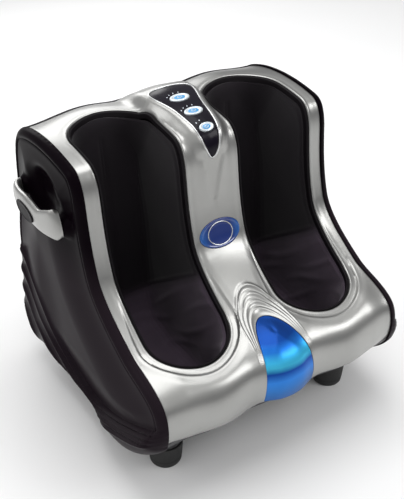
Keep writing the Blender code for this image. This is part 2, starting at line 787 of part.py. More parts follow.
def button_axis():
    """The direction in which the three buttons stand out of the board."""
    first, last = (PANEL_START + BUTTON_SHARES[n][0] * PANEL_LENGTH for n in ("mode_button", "power_button"))
    run = on_cover(0.0, first) - on_cover(0.0, last)
    return Vector((0.0, -run.z, run.y)).normalized()


def board_point(s):
    """A point of the board's top under a place on the panel's centre line."""
    axis = button_axis()
    first = on_cover(0.0, PANEL_START + BUTTON_SHARES["mode_button"][0] * PANEL_LENGTH)
    here = on_cover(0.0, s)
    return here - axis * ((here - first).dot(axis) + BOARD_DROP)


def make_controls(gloss, silver, green):
    """The control panel, its three push buttons, and the board under them."""
    axis = button_axis()
    under = -COVER_WALL - 3 * FIT
    flange = under - PANEL_THICK
    holes = list(button_loops(BUTTON_CLEAR).values())
    panel = cover_piece("control_panel", panel_loop(), under - PANEL_THICK / 2, PANEL_PROUD, gloss,
                        holes=holes)
    wider = list(button_loops(BUTTON_CLEAR + FIT).values())
    join(panel, cover_piece("panel_flange", panel_loop(4 * FIT), flange, under, gloss, holes=wider))
    board_ends = []
    for share in 0.41, 0.645:
        s = PANEL_START + share * PANEL_LENGTH
        top = on_cover(0.0, s, under - PANEL_THICK / 2)
        foot = board_point(s) + axis * FIT
        board_ends.append(foot)
        join(panel, cylinder("post", BUTTON_STEM_RADIUS, foot, (top - foot).dot(axis), axis, steps=8))
    board = make_board(green)
    buttons = []
    for name, loop in button_loops().items():
        s = PANEL_START + BUTTON_SHARES[name][0] * PANEL_LENGTH
        button = cover_piece(name, loop, flange - RUN - PANEL_THICK / 2, BUTTON_PROUD, silver)
        wide = button_loops(BUTTON_CLEAR + 3 * RUN)[name]
        join(button, cover_piece("button_flange", wide, flange - RUN - PANEL_THICK, flange - RUN, silver))
        top = on_cover(0.0, s, flange - RUN - PANEL_THICK / 2)
        foot = board_point(s) + axis * (SWITCH_HEIGHT + BUTTON_TRAVEL + FIT)
        join(button, cylinder("stem", BUTTON_STEM_RADIUS, foot, (top - foot).dot(axis), axis, steps=8))
        buttons.append(button)
    return panel, board, buttons


def make_board(green):
    """The control board, with a switch under each button."""
    axis = button_axis()
    ends = [board_point(PANEL_START + share * PANEL_LENGTH) for share in (0.17, 0.80)]
    along_board = (ends[1] - ends[0]).normalized()
    half = BUTTON_HALF * 0.8
    points = [end + Vector((x, 0, 0)) - axis * drop for drop in (BOARD_THICK, 0.0)
              for end, x in ((ends[0], -half), (ends[0], half), (ends[1], half), (ends[1], -half))]
    faces = [(0, 1, 2, 3), (4, 5, 6, 7)] + [(i, (i + 1) % 4, (i + 1) % 4 + 4, i + 4) for i in range(4)]
    board = solid("control_board", points, faces, green)
    for place, _, _ in BUTTON_SHARES.values():
        centre = board_point(PANEL_START + place * PANEL_LENGTH)
        corners = []
        for rise in (-BOARD_THICK / 2, SWITCH_HEIGHT):
            for x, y in ((-1, -1), (1, -1), (1, 1), (-1, 1)):
                aside = Vector((x * SWITCH_SIDE / 2, 0, 0)) + along_board * (y * SWITCH_SIDE / 2)
                corners.append(centre + aside + axis * rise)
        join(board, solid("switch", corners, faces, green))
    return board


def let_in(cover, name, loop, grown, depth, top, material):
    """A piece that stands in a seat cut into the cover's face."""
    extra = grid_points(loop, FINE_SPACING, FINE_SPACING / 4)
    seat = triangles_in(grown, (), (loop,), extra)
    cut(cover, sheet("seat", seat, lambda p: on_cover(p[0], p[1], -depth),
                     lambda p: on_cover(p[0], p[1], OVERRUN), None))
    flat = triangles_in(loop, (), (), extra)
    return sheet(name, flat, lambda p: on_cover(p[0], p[1], FIT - depth), top, material)


def make_lens_and_badge(cover, blue, badge_blue):
    lens = lens_loop()

    def lens_top(p):
        edge = ease(loop_distance(p, lens) / (LENS_HALF / 2))
        return on_cover(p[0], p[1], LENS_THICK * (0.2 + 0.8 * edge))

    let_in(cover, "toe_lens", lens, lens_loop(FIT), LENS_SEAT, lens_top, blue)
    let_in(cover, "badge", badge_loop(), badge_loop(FIT), BADGE_SEAT,
           lambda p: on_cover(p[0], p[1], BADGE_THICK - BADGE_SEAT), badge_blue)


def make_opening_rings(gloss):
    """The black ring in the mouth of each well."""
    for side_name, side in SIDES:
        centre = side * WELL_CENTRE
        outer, inner = stadium(FIT, centre), stadium(FIT + RING_WIDTH, centre)
        flat = triangles_in(outer, (inner,))
        sheet(f"opening_ring_{side_name}", flat, lambda p: on_cover(p[0], p[1], -RING_DEPTH),
              lambda p: on_cover(p[0], p[1], RING_PROUD), gloss)


# How a liner goes down from its opening: inset from the well's edge, and share of the depth
LINER_START = 3 * MM
LINER_STEPS = (
    (LINER_START, 0.0), (0.5 * LINER_NARROWING, 0.28), (0.8 * LINER_NARROWING, 0.60),
    (LINER_NARROWING, 0.84), (1.6 * LINER_NARROWING, 0.95), (3.2 * LINER_NARROWING, 1.0),
    (WELL_HALF, 1.0),
)


def in_well(x, s):
    """A point of the liner's inner face, from a place in the well's outline."""
    depth = along(LINER_STEPS, -well_distance(x, s))
    share = (s - WELL_START) / (WELL_END - WELL_START)
    y, z = FLOOR_LINE.at(share * FLOOR_LINE.length)
    top = on_cover(x, s, -RING_DEPTH - FIT)
    return top.lerp(Vector((x, y, z)), depth)


def make_liners(fabric):
    """The padded fabric boots: each goes down from its ring to the calf rest and the sole."""
    for side_name, side in SIDES:
        centre = side * WELL_CENTRE
        loops = [stadium(inset, centre) for inset, _ in LINER_STEPS[:-1]]
        first, last = WELL_START + WELL_HALF, WELL_END - WELL_HALF
        middle = [(centre, first + (last - first) * i / 9) for i in range(10)]
        flat = triangles_in(loops[0], (), loops[1:], middle)
        thick(f"liner_{side_name}", flat, lambda p: in_well(p[0], p[1]), LINER_WALL, fabric)


def body_loop(step=3):
    """The seam between the covers and a side panel, as a loop in the side view."""
    cover = COVER_LINE.points[::step]
    floor = TOE_UNDER[::step] + [Vector((share * DEPTH, GROUND_GAP)) for share in (-0.1, 0.0, 0.1, 0.2, 0.3)]
    rear = REAR_LINE.points[:-1:step]
    return cover[:-1] + floor + HEEL_UNDER[:-1:step] + rear


def handle_ends():
    middle = HANDLE_PLACE_SHARES[0] * DEPTH
    height = HANDLE_PLACE_SHARES[1] * BODY_HEIGHT
    front_radius = HANDLE_HALF_HEIGHT * HANDLE_HEIGHT_SHARES[0][1] + HANDLE_BOSS_GROW
    rear_radius = HANDLE_HALF_HEIGHT * HANDLE_HEIGHT_SHARES[-1][1] + HANDLE_BOSS_GROW
    return (((middle - HANDLE_SPAN / 2, height), front_radius), ((middle + HANDLE_SPAN / 2, height), rear_radius))


HANDLE_BASE = SEAM_HALF + FIT + PANEL_RIM + PANEL_BULGE


def recess_reach(p):
    y = (p[0] - RECESS_SHARES[0] * DEPTH) / RECESS_HALF_LENGTH
    z = (p[1] - RECESS_SHARES[1] * BODY_HEIGHT) / RECESS_HALF_HEIGHT
    return hypot(y, z)


def below_swoosh(p):
    """How far a place on a side panel is below the swoosh line, along the line's normal."""
    nearest, below = None, 0.0
    here = Vector((p[0], p[1]))
    for a, b in zip(SWOOSH_LINE, SWOOSH_LINE[1:]):
        run = b - a
        share = min(max((here - a).dot(run) / run.length_squared, 0.0), 1.0)
        gap = here - a - run * share
        if nearest is None or gap.length < nearest:
            nearest = gap.length
            below = nearest if gap.x * run.y - gap.y * run.x < 0 else -nearest
    return below


def skirt_points(outer, marks):
    """Points that carry the flared skirt: along the swoosh line, along the rim and between them."""
    rows = [inset_loop(SWOOSH_LINE, -by)[1:-1] for by in (0.0, SKIRT_STEP / 2, SKIRT_STEP)]
    rows.append(grid_points(outer, SKIRT_ROW, PANEL_RIM, (), marks))
    kept = []
    for row in rows:
        for p in row:
            if not inside(p, outer) or loop_distance(p, outer) < PANEL_RIM + SKIRT_ROW / 2:
                continue
            if below_swoosh(p) < -SKIRT_ROW / 4:
                continue
            if all(hypot(p[0] - q[0], p[1] - q[1]) > 0.6 * SKIRT_ROW for q in kept):
                kept.append((p[0], p[1]))
    return kept


def panel_face(p, edge, rim, wall):
    """Distance of a side panel's face from the centre plane; edge is how far p is from the rim."""
    skirt = ease(below_swoosh(p) / SKIRT_STEP)
    bulge = PANEL_BULGE * ease((edge - rim) / PANEL_BULGE_REACH)
    flare = (SKIRT_OUT - PANEL_RIM) * ease(edge / SKIRT_REACH)
    out = rim * sqrt(max(0.0, 1 - (1 - min(edge / rim, 1.0))**2)) + bulge + (flare - bulge) * skirt
    out -= RECESS_DEPTH * (1 - ease((recess_reach(p) - 0.45) / 0.55))
    for centre, radius in handle_ends():
        if hypot(p[0] - centre[0], p[1] - centre[1]) <= radius * 1.001:
            out = PANEL_RIM + PANEL_BULGE - wall
    return SEAM_HALF + FIT + out


def make_side_panels(gloss):
    """The glossy side panels, each a dish with a rounded rim and a recess behind the handle."""
    outer = body_loop()
    outer = outer if signed_area(outer) > 0 else outer[::-1]
    outer = inset_loop(outer, -RIM_PROUD)
    inner = inset_loop(outer, PANEL_WALL)
    recess_centre = (RECESS_SHARES[0] * DEPTH, RECESS_SHARES[1] * BODY_HEIGHT)
    marks = [ellipse(centre, radius, radius, 12) for centre, radius in handle_ends()]
    marks += [ellipse(centre, radius + HANDLE_BOSS_GROW, radius + HANDLE_BOSS_GROW, 12)
              for centre, radius in handle_ends()]
    marks += [ellipse(recess_centre, share * RECESS_HALF_LENGTH, share * RECESS_HALF_HEIGHT, 14)
              for share in (0.25, 0.6)]
    rims = [inset_loop(outer, share * PANEL_RIM) for share in (0.15, 0.5, 1.0)]
    extra = grid_points(outer, GRID_SPACING, PANEL_RIM + GRID_SPACING / 4, (), marks)
    extra = [p for p in extra if not any(inside(p, m) for m in marks)]
    extra = skirt_points(outer, marks) + [p for p in extra if below_swoosh(p) < -SKIRT_ROW]
    outer_flat = triangles_in(outer, (), rims + marks, extra)
    inner_rims = [inset_loop(outer, PANEL_RIM)]
    inner_flat = triangles_in(inner, (), inner_rims + marks, extra)
    rim = PANEL_RIM - PANEL_WALL
    for side_name, side in SIDES:
        def outer_place(p, side=side):
            return (side * panel_face(p, loop_distance(p, outer), PANEL_RIM, 0.0), p[0], p[1])

        def inner_place(p, side=side):
            return (side * panel_face(p, loop_distance(p, inner), rim, PANEL_WALL), p[0], p[1])

        two_skins(f"side_panel_{side_name}", outer_flat, inner_flat, outer_place, inner_place, gloss)


def signed_area(loop):
    return sum(a[0] * b[1] - a[1] * b[0] for a, b in zip(loop, loop[1:] + loop[:1])) / 2


def make_handles(silver, gloss):
    """The carrying bow on each side panel, with a dark plate let into it."""
    (start, height), _ = handle_ends()[0]
    bow = cubic_chain(HANDLE_BOW_SHARES, 5)
    steps = 12
    for side_name, side in SIDES:
        points, faces = [], []
        for i, share in enumerate(bow):
            run = (bow[min(i + 1, len(bow) - 1)] - bow[max(i - 1, 0)])
            at_end = i in (0, len(bow) - 1)
            run = Vector((0.0 if at_end else run.x * HANDLE_SPAN, run.y * HANDLE_OUT)).normalized()
            half = HANDLE_HALF_HEIGHT * along(HANDLE_HEIGHT_SHARES, i / (len(bow) - 1))
            for turn in (2 * pi * (k + 0.5) / steps for k in range(steps)):
                thick_way = HANDLE_HALF_THICK * square(sin(turn))
                high_way = half * square(cos(turn))
                y = start + share.x * HANDLE_SPAN - run.y * thick_way
                x = HANDLE_BASE + FIT + share.y * HANDLE_OUT + run.x * thick_way
                points.append((side * x, y, height + high_way))
        for i in range(len(bow) - 1):
            for k in range(steps):
                a, b = i * steps + k, i * steps + (k + 1) % steps
                faces.append((a, b, b + steps, a + steps))
        faces += [tuple(range(steps)), tuple(range(len(points) - steps, len(points)))]
        handle = solid(f"handle_{side_name}", points, faces, silver)
        place = HANDLE_BASE + FIT + 1.005 * HANDLE_OUT + HANDLE_HALF_THICK - HANDLE_PLATE_THICK
        middle = (side * place, start + HANDLE_SPAN / 2, height)
        cut(handle, oval("pocket", middle, side, FIT, OVERRUN))
        plate = (side * (place + FIT), middle[1], middle[2])
        oval(f"handle_plate_{side_name}", plate, side, 0.0, HANDLE_PLATE_THICK, gloss)


def square(value):
    """Pushes the points of a circle out towards a square, and keeps its sign."""
    return abs(value)**0.6 * (1 if value >= 0 else -1)


def oval(name, centre, side, grow, length, material=None):
    """An oval plate that stands out along X."""
    outline = ellipse(centre[1:], HANDLE_PLATE_HALF_LENGTH + grow, HANDLE_PLATE_HALF_HEIGHT + grow, 20)
    return plate_yz(name, outline, centre[0], centre[0] + side * length, material)


def make_rear_cover(gloss):
    """The black rear cover, with vents and holes for the power fittings."""
    top = REAR_LINE.length
    outline = [Vector((p.x, top - p.y)) for p in rectangle_loop(SEAM_HALF, top, 18, 12)][::-1]
    inner_points = []
    for column in range(1, 12, 2):
        for row in (1, 2, 4, 9, 13, 16, 17):
            inner_points.append((-SEAM_HALF + 2 * SEAM_HALF * column / 12, top * row / 18))
    flat = triangles_in(outline, (), (), inner_points)

    def on_rear(p, above):
        y, z = REAR_LINE.at(p[1]) + REAR_LINE.outward(p[1]) * above
        lobe = rear_lobe(p[0]) * (1 - ease((top - p[1]) / REAR_LOBE_REACH))
        return (p[0], y, z + lobe)

    rear = sheet("rear_cover", flat, lambda p: on_rear(p, -REAR_WALL), lambda p: on_rear(p, 0.0), gloss)
    face = DEPTH / 2
    height = REAR_FITTINGS_SHARE * BODY_HEIGHT
    inlet = (INLET_HALF_WIDTH + FIT, INLET_HALF_HEIGHT + FIT)
    switch = (ROCKER_HALF_WIDTH + ROCKER_FRAME + FIT, ROCKER_HALF_HEIGHT + ROCKER_FRAME + FIT)
    for x, (half_x, half_z) in ((INLET_X, inlet), (SWITCH_X, switch)):
        low = (x - half_x, face - REAR_WALL - OVERRUN, height - half_z)
        cut(rear, box("hole", low, (x + half_x, face + OVERRUN, height + half_z)))
    start = (FUSE_X, face - REAR_WALL - OVERRUN, height)
    cut(rear, cylinder("hole", FUSE_RADIUS + FIT, start, 3 * OVERRUN, (0, 1, 0), steps=12))
    for i in range(VENT_COUNT):
        z = VENT_SHARE * BODY_HEIGHT + (i - VENT_COUNT / 2) * VENT_PITCH
        low = (-VENT_HALF_LENGTH, face - 4 * OVERRUN, z)
        cut(rear, box("vent", low, (VENT_HALF_LENGTH, face + OVERRUN, z + VENT_HEIGHT)))
    return rear


def make_tray(gloss):
    """The base tray: a wall under the machine, with ribs that carry the chassis."""
    line = Line(TOE_UNDER + HEEL_UNDER)
    rows = [line.marks[i] for i in range(1, len(line.marks) - 1)]
    flat_rows = rows[len(TOE_UNDER) - 3:len(TOE_UNDER)]
    loop = [(x, 0.0) for x in spread(-SEAM_HALF, SEAM_HALF, 16)[:-1]]
    loop += [(SEAM_HALF, s) for s in [0.0] + rows]
    loop += [(x, line.length) for x in spread(SEAM_HALF, -SEAM_HALF, 4)[:-1]]
    loop += [(-SEAM_HALF, s) for s in [line.length] + rows[::-1]]
    inner = [(x, s) for s in rows[3:16:4] + flat_rows for x in spread(-SEAM_HALF, SEAM_HALF, 12)[1:-1]]
    flat = triangles_in([Vector(p) for p in loop], (), (), inner)

    def on_tray(p, above):
        y, z = line.at(p[1]) + line.outward(p[1]) * above
        return (p[0], y - toe_lobe(p[0]) * (1 - ease(p[1] / NOSE_REACH)), z)

    tray = sheet("base_tray", flat, lambda p: on_tray(p, 0.0), lambda p: on_tray(p, -TRAY_WALL), gloss)
    for x in (-SEAM_HALF * 0.86, -SEAM_HALF * 0.3, SEAM_HALF * 0.3, SEAM_HALF * 0.86):
        low = (x - TRAY_RIB_THICK / 2, CHASSIS_FRONT_SHARE * DEPTH, GROUND_GAP + TRAY_WALL / 2)
        top = GROUND_GAP + TRAY_WALL + TRAY_RIB_HEIGHT
        join(tray, box("rib", low, (x + TRAY_RIB_THICK / 2, CHASSIS_REAR_SHARE * DEPTH, top)))
    for x in -FOOT_FRONT_X, FOOT_FRONT_X:
        base = (x, FOOT_FRONT_SHARE * DEPTH, GROUND_GAP)
        join(tray, cylinder("boss", FOOT_RADIUS - TRAY_WALL, base, FOOT_BOSS, (0, 0, 1), steps=16))
    return tray


def spread(first, last, steps):
    return [first + (last - first) * i / steps for i in range(steps + 1)]


def make_feet(rubber, steel):
    """Four rubber feet under the tray, each with its screw up into the tray."""
    for end_name, x, share in (("front", FOOT_FRONT_X, FOOT_FRONT_SHARE), ("rear", FOOT_REAR_X, FOOT_REAR_SHARE)):
        for side_name, side in SIDES:
            place = (side * x, share * DEPTH, 0.0)
            height = GROUND_GAP - FIT
            small = FOOT_RADIUS - FOOT_TAPER
            well = FOOT_SCREW_RADIUS + RUN
            profile = [(0.0, well), (0.0, small - FOOT_ROUND), (FOOT_ROUND, small), (height, FOOT_RADIUS),
                       (height, 0.0), (height, 0.0)]
            profile = profile[:4] + [(height, 0.0)]
            foot = turned(f"foot_{end_name}_{side_name}", [(0.0, 0.0)] + profile[1:], place, (0, 0, 1), rubber)
            cut(foot, cylinder("well", well, (place[0], place[1], -OVERRUN), OVERRUN + height / 2,
                               (0, 0, 1), steps=12))


def make_chassis(steel):
    """The steel base plate and the two uprights that carry the shafts."""
    low = GROUND_GAP + TRAY_WALL + TRAY_RIB_HEIGHT + FIT
    half = SEAM_HALF - CHASSIS_CLEAR
    front, rear = CHASSIS_FRONT_SHARE * DEPTH, CHASSIS_REAR_SHARE * DEPTH
    box("chassis_base", (-half, front, low), (half, rear, low + CHASSIS_THICK), steel)
    foot = low + CHASSIS_THICK + FIT
    y_front, y_rear = UPRIGHT_FRONT_SHARE * DEPTH, UPRIGHT_REAR_SHARE * DEPTH
    top = UPRIGHT_TOP_SHARE * BODY_HEIGHT
    for side_name, side in SIDES:
        outline = [(y_front, foot), (y_rear, foot), (y_rear, top), (y_front + (y_rear - y_front) / 3, top),
                   (y_front, top * 0.7)]
        outer, inner = side * half, side * (half - CHASSIS_THICK)
        upright = plate_yz(f"upright_{side_name}", outline, inner, outer, steel)
        for shares in UPPER_SHAFT_SHARES, LOWER_SHAFT_SHARES:
            start = (side * (half - CHASSIS_THICK - OVERRUN), shares[0] * DEPTH, shares[1] * BODY_HEIGHT)
            cut(upright, cylinder("hole", SHAFT_RADIUS + RUN, start, CHASSIS_THICK + 2 * OVERRUN, (side, 0, 0)))
            start = (start[0], start[1] + GUIDE_OFFSET, start[2])
            cut(upright, cylinder("hole", GUIDE_RADIUS + FIT / 2, start, CHASSIS_THICK + 2 * OVERRUN,
                                  (side, 0, 0), steps=12))
        flange = (min(side * (half - CHASSIS_THICK), side * (half - 4 * CHASSIS_THICK)), y_front, foot)
        flange_end = (max(side * (half - CHASSIS_THICK), side * (half - 4 * CHASSIS_THICK)), y_rear,
                      foot + CHASSIS_THICK)
        grown = (flange_end[0] + (CHASSIS_THICK / 2 if side > 0 else 0), flange_end[1], flange_end[2])
        shifted = (flange[0] - (CHASSIS_THICK / 2 if side < 0 else 0), flange[1], flange[2])
        join(upright, box("flange", shifted, grown))


def make_shafts(steel, white, plastic):
    """The two cross shafts with their ball hubs, pulleys and bearings, and the guide rods."""
    half = SEAM_HALF - CHASSIS_CLEAR
    bodies = {}
    for name, shares in (("upper", UPPER_SHAFT_SHARES), ("lower", LOWER_SHAFT_SHARES)):
        y, z = shares[0] * DEPTH, shares[1] * BODY_HEIGHT
        end = half + BEARING_THICK - FIT
        shaft = cylinder(f"{name}_shaft", SHAFT_RADIUS, (-end, y, z), 2 * end, (1, 0, 0), steel, steps=12)
        for x in (-PADDLE_OUTER_X, -PADDLE_INNER_X, PADDLE_INNER_X, PADDLE_OUTER_X):
            ends = [HUB_HALF_WIDTH * k for k in (-1, 0, 1)]
            profile = [(a, sqrt(HUB_RADIUS**2 - a**2)) for a in ends]
            join(shaft, turned("hub", profile, (x, y, z), (1, 0, 0), steps=14))
        pulley = make_pulley(f"{name}_pulley", y, z, white)
        bodies[name] = (shaft, pulley)
        cylinder_span = 2 * (half + FIT)
        cylinder(f"{name}_guide_rod", GUIDE_RADIUS, (-half - FIT, y + GUIDE_OFFSET, z), cylinder_span, (1, 0, 0),
                 steel, steps=12)
        for side_name, side in SIDES:
            inner, outer = side * (half + FIT), side * (half + BEARING_THICK)
            low, high = (min(inner, outer), y - BEARING_HALF, z - BEARING_HALF), None
            high = (max(inner, outer), y + BEARING_HALF, z + BEARING_HALF)
            bearing = box(f"{name}_bearing_{side_name}", low, high, plastic)
            start = (side * half, y, z)
            cut(bearing, cylinder("bore", SHAFT_RADIUS + RUN, start, BEARING_THICK + 2 * OVERRUN, (side, 0, 0)))
    return bodies


PULLEY_X = 20.5 * MM        # centre plane to the pulleys' near face


def make_pulley(name, y, z, material):
    width, radius, rim = PULLEY_WIDTH, PULLEY_RADIUS, PULLEY_RADIUS + PULLEY_FLANGE
    thick_rim = PULLEY_FLANGE_THICK
    profile = [(0.0, 0.0), (0.0, rim), (thick_rim, rim), (thick_rim, radius), (width - thick_rim, radius),
               (width - thick_rim, rim), (width, rim), (width, 0.0)]
    pulley = turned(name, profile, (PULLEY_X, y, z), (1, 0, 0), material)
    cut(pulley, cylinder("bore", SHAFT_RADIUS + FIT / 2, (PULLEY_X - OVERRUN, y, z), width + 2 * OVERRUN, (1, 0, 0)))
    return pulley


def make_belt(rubber):
    """The toothed belt from the lower pulley to the upper one, drawn plain."""
    low = Vector((LOWER_SHAFT_SHARES[0] * DEPTH, LOWER_SHAFT_SHARES[1] * BODY_HEIGHT))
    high = Vector((UPPER_SHAFT_SHARES[0] * DEPTH, UPPER_SHAFT_SHARES[1] * BODY_HEIGHT))
    run = (high - low).normalized()
    across = Vector((run.y, -run.x))
    loops = []
    for radius in (PULLEY_RADIUS + BELT_THICK, PULLEY_RADIUS + FIT):
        loop = []
        for centre, turn_from in ((high, 0.0), (low, pi)):
            for k in range(11):
                turn = turn_from + pi * k / 10
                loop.append(centre + (across * cos(turn) + run * sin(turn)) * radius / cos(pi / 20))
        loops.append(loop)
    flat = triangles_in(loops[0], (loops[1],))
    near = PULLEY_X + PULLEY_FLANGE_THICK + FIT
    far = PULLEY_X + PULLEY_WIDTH - PULLEY_FLANGE_THICK - FIT
    return sheet("belt", flat, lambda p: (near, p[0], p[1]), lambda p: (far, p[0], p[1]), rubber)


def make_paddle(name, x, shaft, reach, outline_shares, nubs, inward, material):
    """One kneading paddle: a plate with a ring round its ball hub and a tail on the guide rod."""
    y, z = shaft[0] * DEPTH, shaft[1] * BODY_HEIGHT
    outline = [Vector((y - p.x * reach, z + p.y * reach)) for p in cubic_chain(outline_shares, 3)]
    low, high = x - PADDLE_THICK / 2, x + PADDLE_THICK / 2
    paddle = plate_yz(name, outline, low, high, material)
    ring = HUB_RADIUS + RUN + PADDLE_RING_WALL
    join(paddle, cylinder("ring", ring, (x - PADDLE_RING_THICK / 2, y, z), PADDLE_RING_THICK, (1, 0, 0), steps=14))
    tail_end = y + GUIDE_OFFSET + GUIDE_RADIUS + PADDLE_TAIL_END
    join(paddle, box("tail", (low, y + HUB_RADIUS, z - PADDLE_TAIL_HALF), (high, tail_end, z + PADDLE_TAIL_HALF)))
    start = (x - PADDLE_RING_THICK, y, z)
    cut(paddle, cylinder("bore", HUB_RADIUS + RUN, start, 2 * PADDLE_RING_THICK, (1, 0, 0), steps=16))
    start = (x - PADDLE_RING_THICK, y + GUIDE_OFFSET, z)
    cut(paddle, cylinder("bore", GUIDE_RADIUS + 2 * RUN, start, 2 * PADDLE_RING_THICK, (1, 0, 0), steps=8))
    for ahead, up in nubs:
        base = (x + inward * PADDLE_THICK / 4, y - ahead * reach, z + up * reach)
        profile = [(0.0, 0.0), (0.0, NUB_RADIUS), (PADDLE_THICK / 4 + NUB_RISE / 2, NUB_RADIUS),
                   (PADDLE_THICK / 4 + NUB_RISE, 0.0)]
        join(paddle, turned("nub", profile, base, (inward, 0, 0), steps=6))
    return paddle


def make_paddles(plastic):
    """Eight kneading paddles: a pair round each calf and a pair round each foot."""
    kinds = (("calf", UPPER_SHAFT_SHARES, CALF_REACH, CALF_PADDLE_SHARES, CALF_NUB_SHARES),
             ("foot", LOWER_SHAFT_SHARES, FOOT_REACH, FOOT_PADDLE_SHARES, FOOT_NUB_SHARES))
    for kind, shaft, reach, outline, nubs in kinds:
        for side_name, side in SIDES:
            for place_name, x in (("inner", PADDLE_INNER_X), ("outer", PADDLE_OUTER_X)):
                name = f"{kind}_paddle_{side_name}_{place_name}"
                inward = side if place_name == "inner" else -side
                paddle = make_paddle(name, side * x, shaft, reach, outline, nubs, inward, plastic)
                axis = pivot(f"{name}_axis", (side * x, shaft[0] * DEPTH, shaft[1] * BODY_HEIGHT))
                carry(axis, paddle)


def make_drive(steel, brass, grey, plastic):
    """The gearbox in two halves, its worm wheel, and the motor whose shaft carries the worm."""
    y, z = LOWER_SHAFT_SHARES[0] * DEPTH, LOWER_SHAFT_SHARES[1] * BODY_HEIGHT
    wheel_low = GEARBOX_X - WHEEL_THICK / 2
    points = []
    for i in range(2 * WHEEL_TEETH):
        turn = pi * i / WHEEL_TEETH
        radius = WHEEL_RADIUS - (TOOTH_HEIGHT if i % 2 else 0.0)
        points.append(Vector((y + radius * cos(turn), z + radius * sin(turn))))
    wheel = plate_yz("worm_wheel", points, wheel_low, wheel_low + WHEEL_THICK, brass)
    start = (wheel_low - OVERRUN, y, z)
    cut(wheel, cylinder("bore", SHAFT_RADIUS + FIT / 2, start, WHEEL_THICK + 2 * OVERRUN, (1, 0, 0)))

    worm_y = y - WHEEL_RADIUS - WORM_RADIUS - RUN
    room = GEARBOX_WALL + 2 * RUN
    low = (GEARBOX_X - GEARBOX_HALF_WIDTH, worm_y - WORM_RADIUS - room, z - WHEEL_RADIUS - room)
    high = (GEARBOX_X + GEARBOX_HALF_WIDTH, y + WHEEL_RADIUS + room, z + WHEEL_RADIUS + room)
    lid_x = low[0] + GEARBOX_WALL
    housing = box("gearbox_body", (lid_x + FIT, low[1], low[2]), high, grey)
    cavity_low = (lid_x - OVERRUN, low[1] + GEARBOX_WALL, low[2] + GEARBOX_WALL)
    cavity_high = (high[0] - GEARBOX_WALL, high[1] - GEARBOX_WALL, high[2] - GEARBOX_WALL)
    cut(housing, box("cavity", cavity_low, cavity_high))
    span = high[0] - low[0] + 2 * OVERRUN
    shaft_hole = SHAFT_RADIUS + RUN
    cut(housing, cylinder("hole", shaft_hole, (low[0] - OVERRUN, y, z), span, (1, 0, 0)))
    worm_hole = WORM_SHAFT_RADIUS + RUN
    cut(housing, cylinder("hole", worm_hole, (GEARBOX_X, worm_y, high[2] - 2 * GEARBOX_WALL),
                          2 * GEARBOX_WALL + OVERRUN, (0, 0, 1), steps=12))
    foot_low = GROUND_GAP + TRAY_WALL + TRAY_RIB_HEIGHT + CHASSIS_THICK + 2 * FIT
    for share in (0.15, 0.70):
        at = low[1] + (high[1] - low[1]) * share
        join(housing, box("foot", (lid_x + FIT, at, foot_low), (high[0], at + 2 * GEARBOX_WALL, low[2] + GEARBOX_WALL / 2)))
    lid = box("gearbox_lid", low, (lid_x, high[1], high[2]), grey)
    cut(lid, cylinder("hole", shaft_hole, (low[0] - OVERRUN, y, z), span, (1, 0, 0)))

    motor_low = high[2] + FIT
    profile = [(0.0, 0.0), (0.0, MOTOR_RADIUS * 0.6), (MOTOR_BOSS_LENGTH, MOTOR_RADIUS * 0.6),
               (MOTOR_BOSS_LENGTH, MOTOR_RADIUS), (MOTOR_BOSS_LENGTH + MOTOR_LENGTH, MOTOR_RADIUS),
               (MOTOR_BOSS_LENGTH + MOTOR_LENGTH, 0.0)]
    motor = turned("motor", profile, (GEARBOX_X, worm_y, motor_low), (0, 0, 1), steel)
    cut(motor, cylinder("bore", worm_hole, (GEARBOX_X, worm_y, motor_low - OVERRUN),
                        OVERRUN + MOTOR_BOSS_LENGTH + MOTOR_LENGTH / 2, (0, 0, 1), steps=12))
    bottom = low[2] + GEARBOX_WALL + RUN
    worm_from, worm_to = z - WHEEL_THICK, z + WHEEL_THICK
    profile = [(0.0, 0.0), (0.0, WORM_SHAFT_RADIUS), (worm_from - bottom, WORM_SHAFT_RADIUS)]
    pitch = (worm_to - worm_from) / WORM_RIDGES
    root = WORM_RADIUS - TOOTH_HEIGHT / 2
    for i in range(WORM_RIDGES):
        ridge = worm_from - bottom + i * pitch
        profile += [(ridge, root), (ridge + pitch * 0.3, WORM_RADIUS), (ridge + pitch * 0.6, WORM_RADIUS)]
    profile += [(worm_to - bottom, root), (worm_to - bottom, WORM_SHAFT_RADIUS)]
    top = motor_low + MOTOR_BOSS_LENGTH + MOTOR_LENGTH / 2 - RUN
    profile += [(top - bottom, WORM_SHAFT_RADIUS), (top - bottom, 0.0)]
    worm = turned("worm_shaft", profile, (GEARBOX_X, worm_y, bottom), (0, 0, 1), steel, steps=12)
    carry(pivot("worm_axis", (GEARBOX_X, worm_y, z)), worm)
    return wheel


def make_foot_beds(plastic):
    """The rigid bed under each liner's sole, open below."""
    low = GROUND_GAP + TRAY_WALL + TRAY_RIB_HEIGHT + CHASSIS_THICK + 2 * FIT
    top = WELL_FLOOR_SHARES[9][1] * BODY_HEIGHT - LINER_WALL - BED_CLEAR
    front, rear = BED_FRONT_SHARE * DEPTH, BED_REAR_SHARE * DEPTH
    for side_name, side in SIDES:
        x = side * WELL_CENTRE
        bed = box(f"foot_bed_{side_name}", (x - BED_HALF_WIDTH, front, low), (x + BED_HALF_WIDTH, rear, top), plastic)
        inner = (x - BED_HALF_WIDTH + BED_WALL, front + BED_WALL, low - OVERRUN)
        cut(bed, box("hollow", inner, (x + BED_HALF_WIDTH - BED_WALL, rear - BED_WALL, top - BED_WALL)))


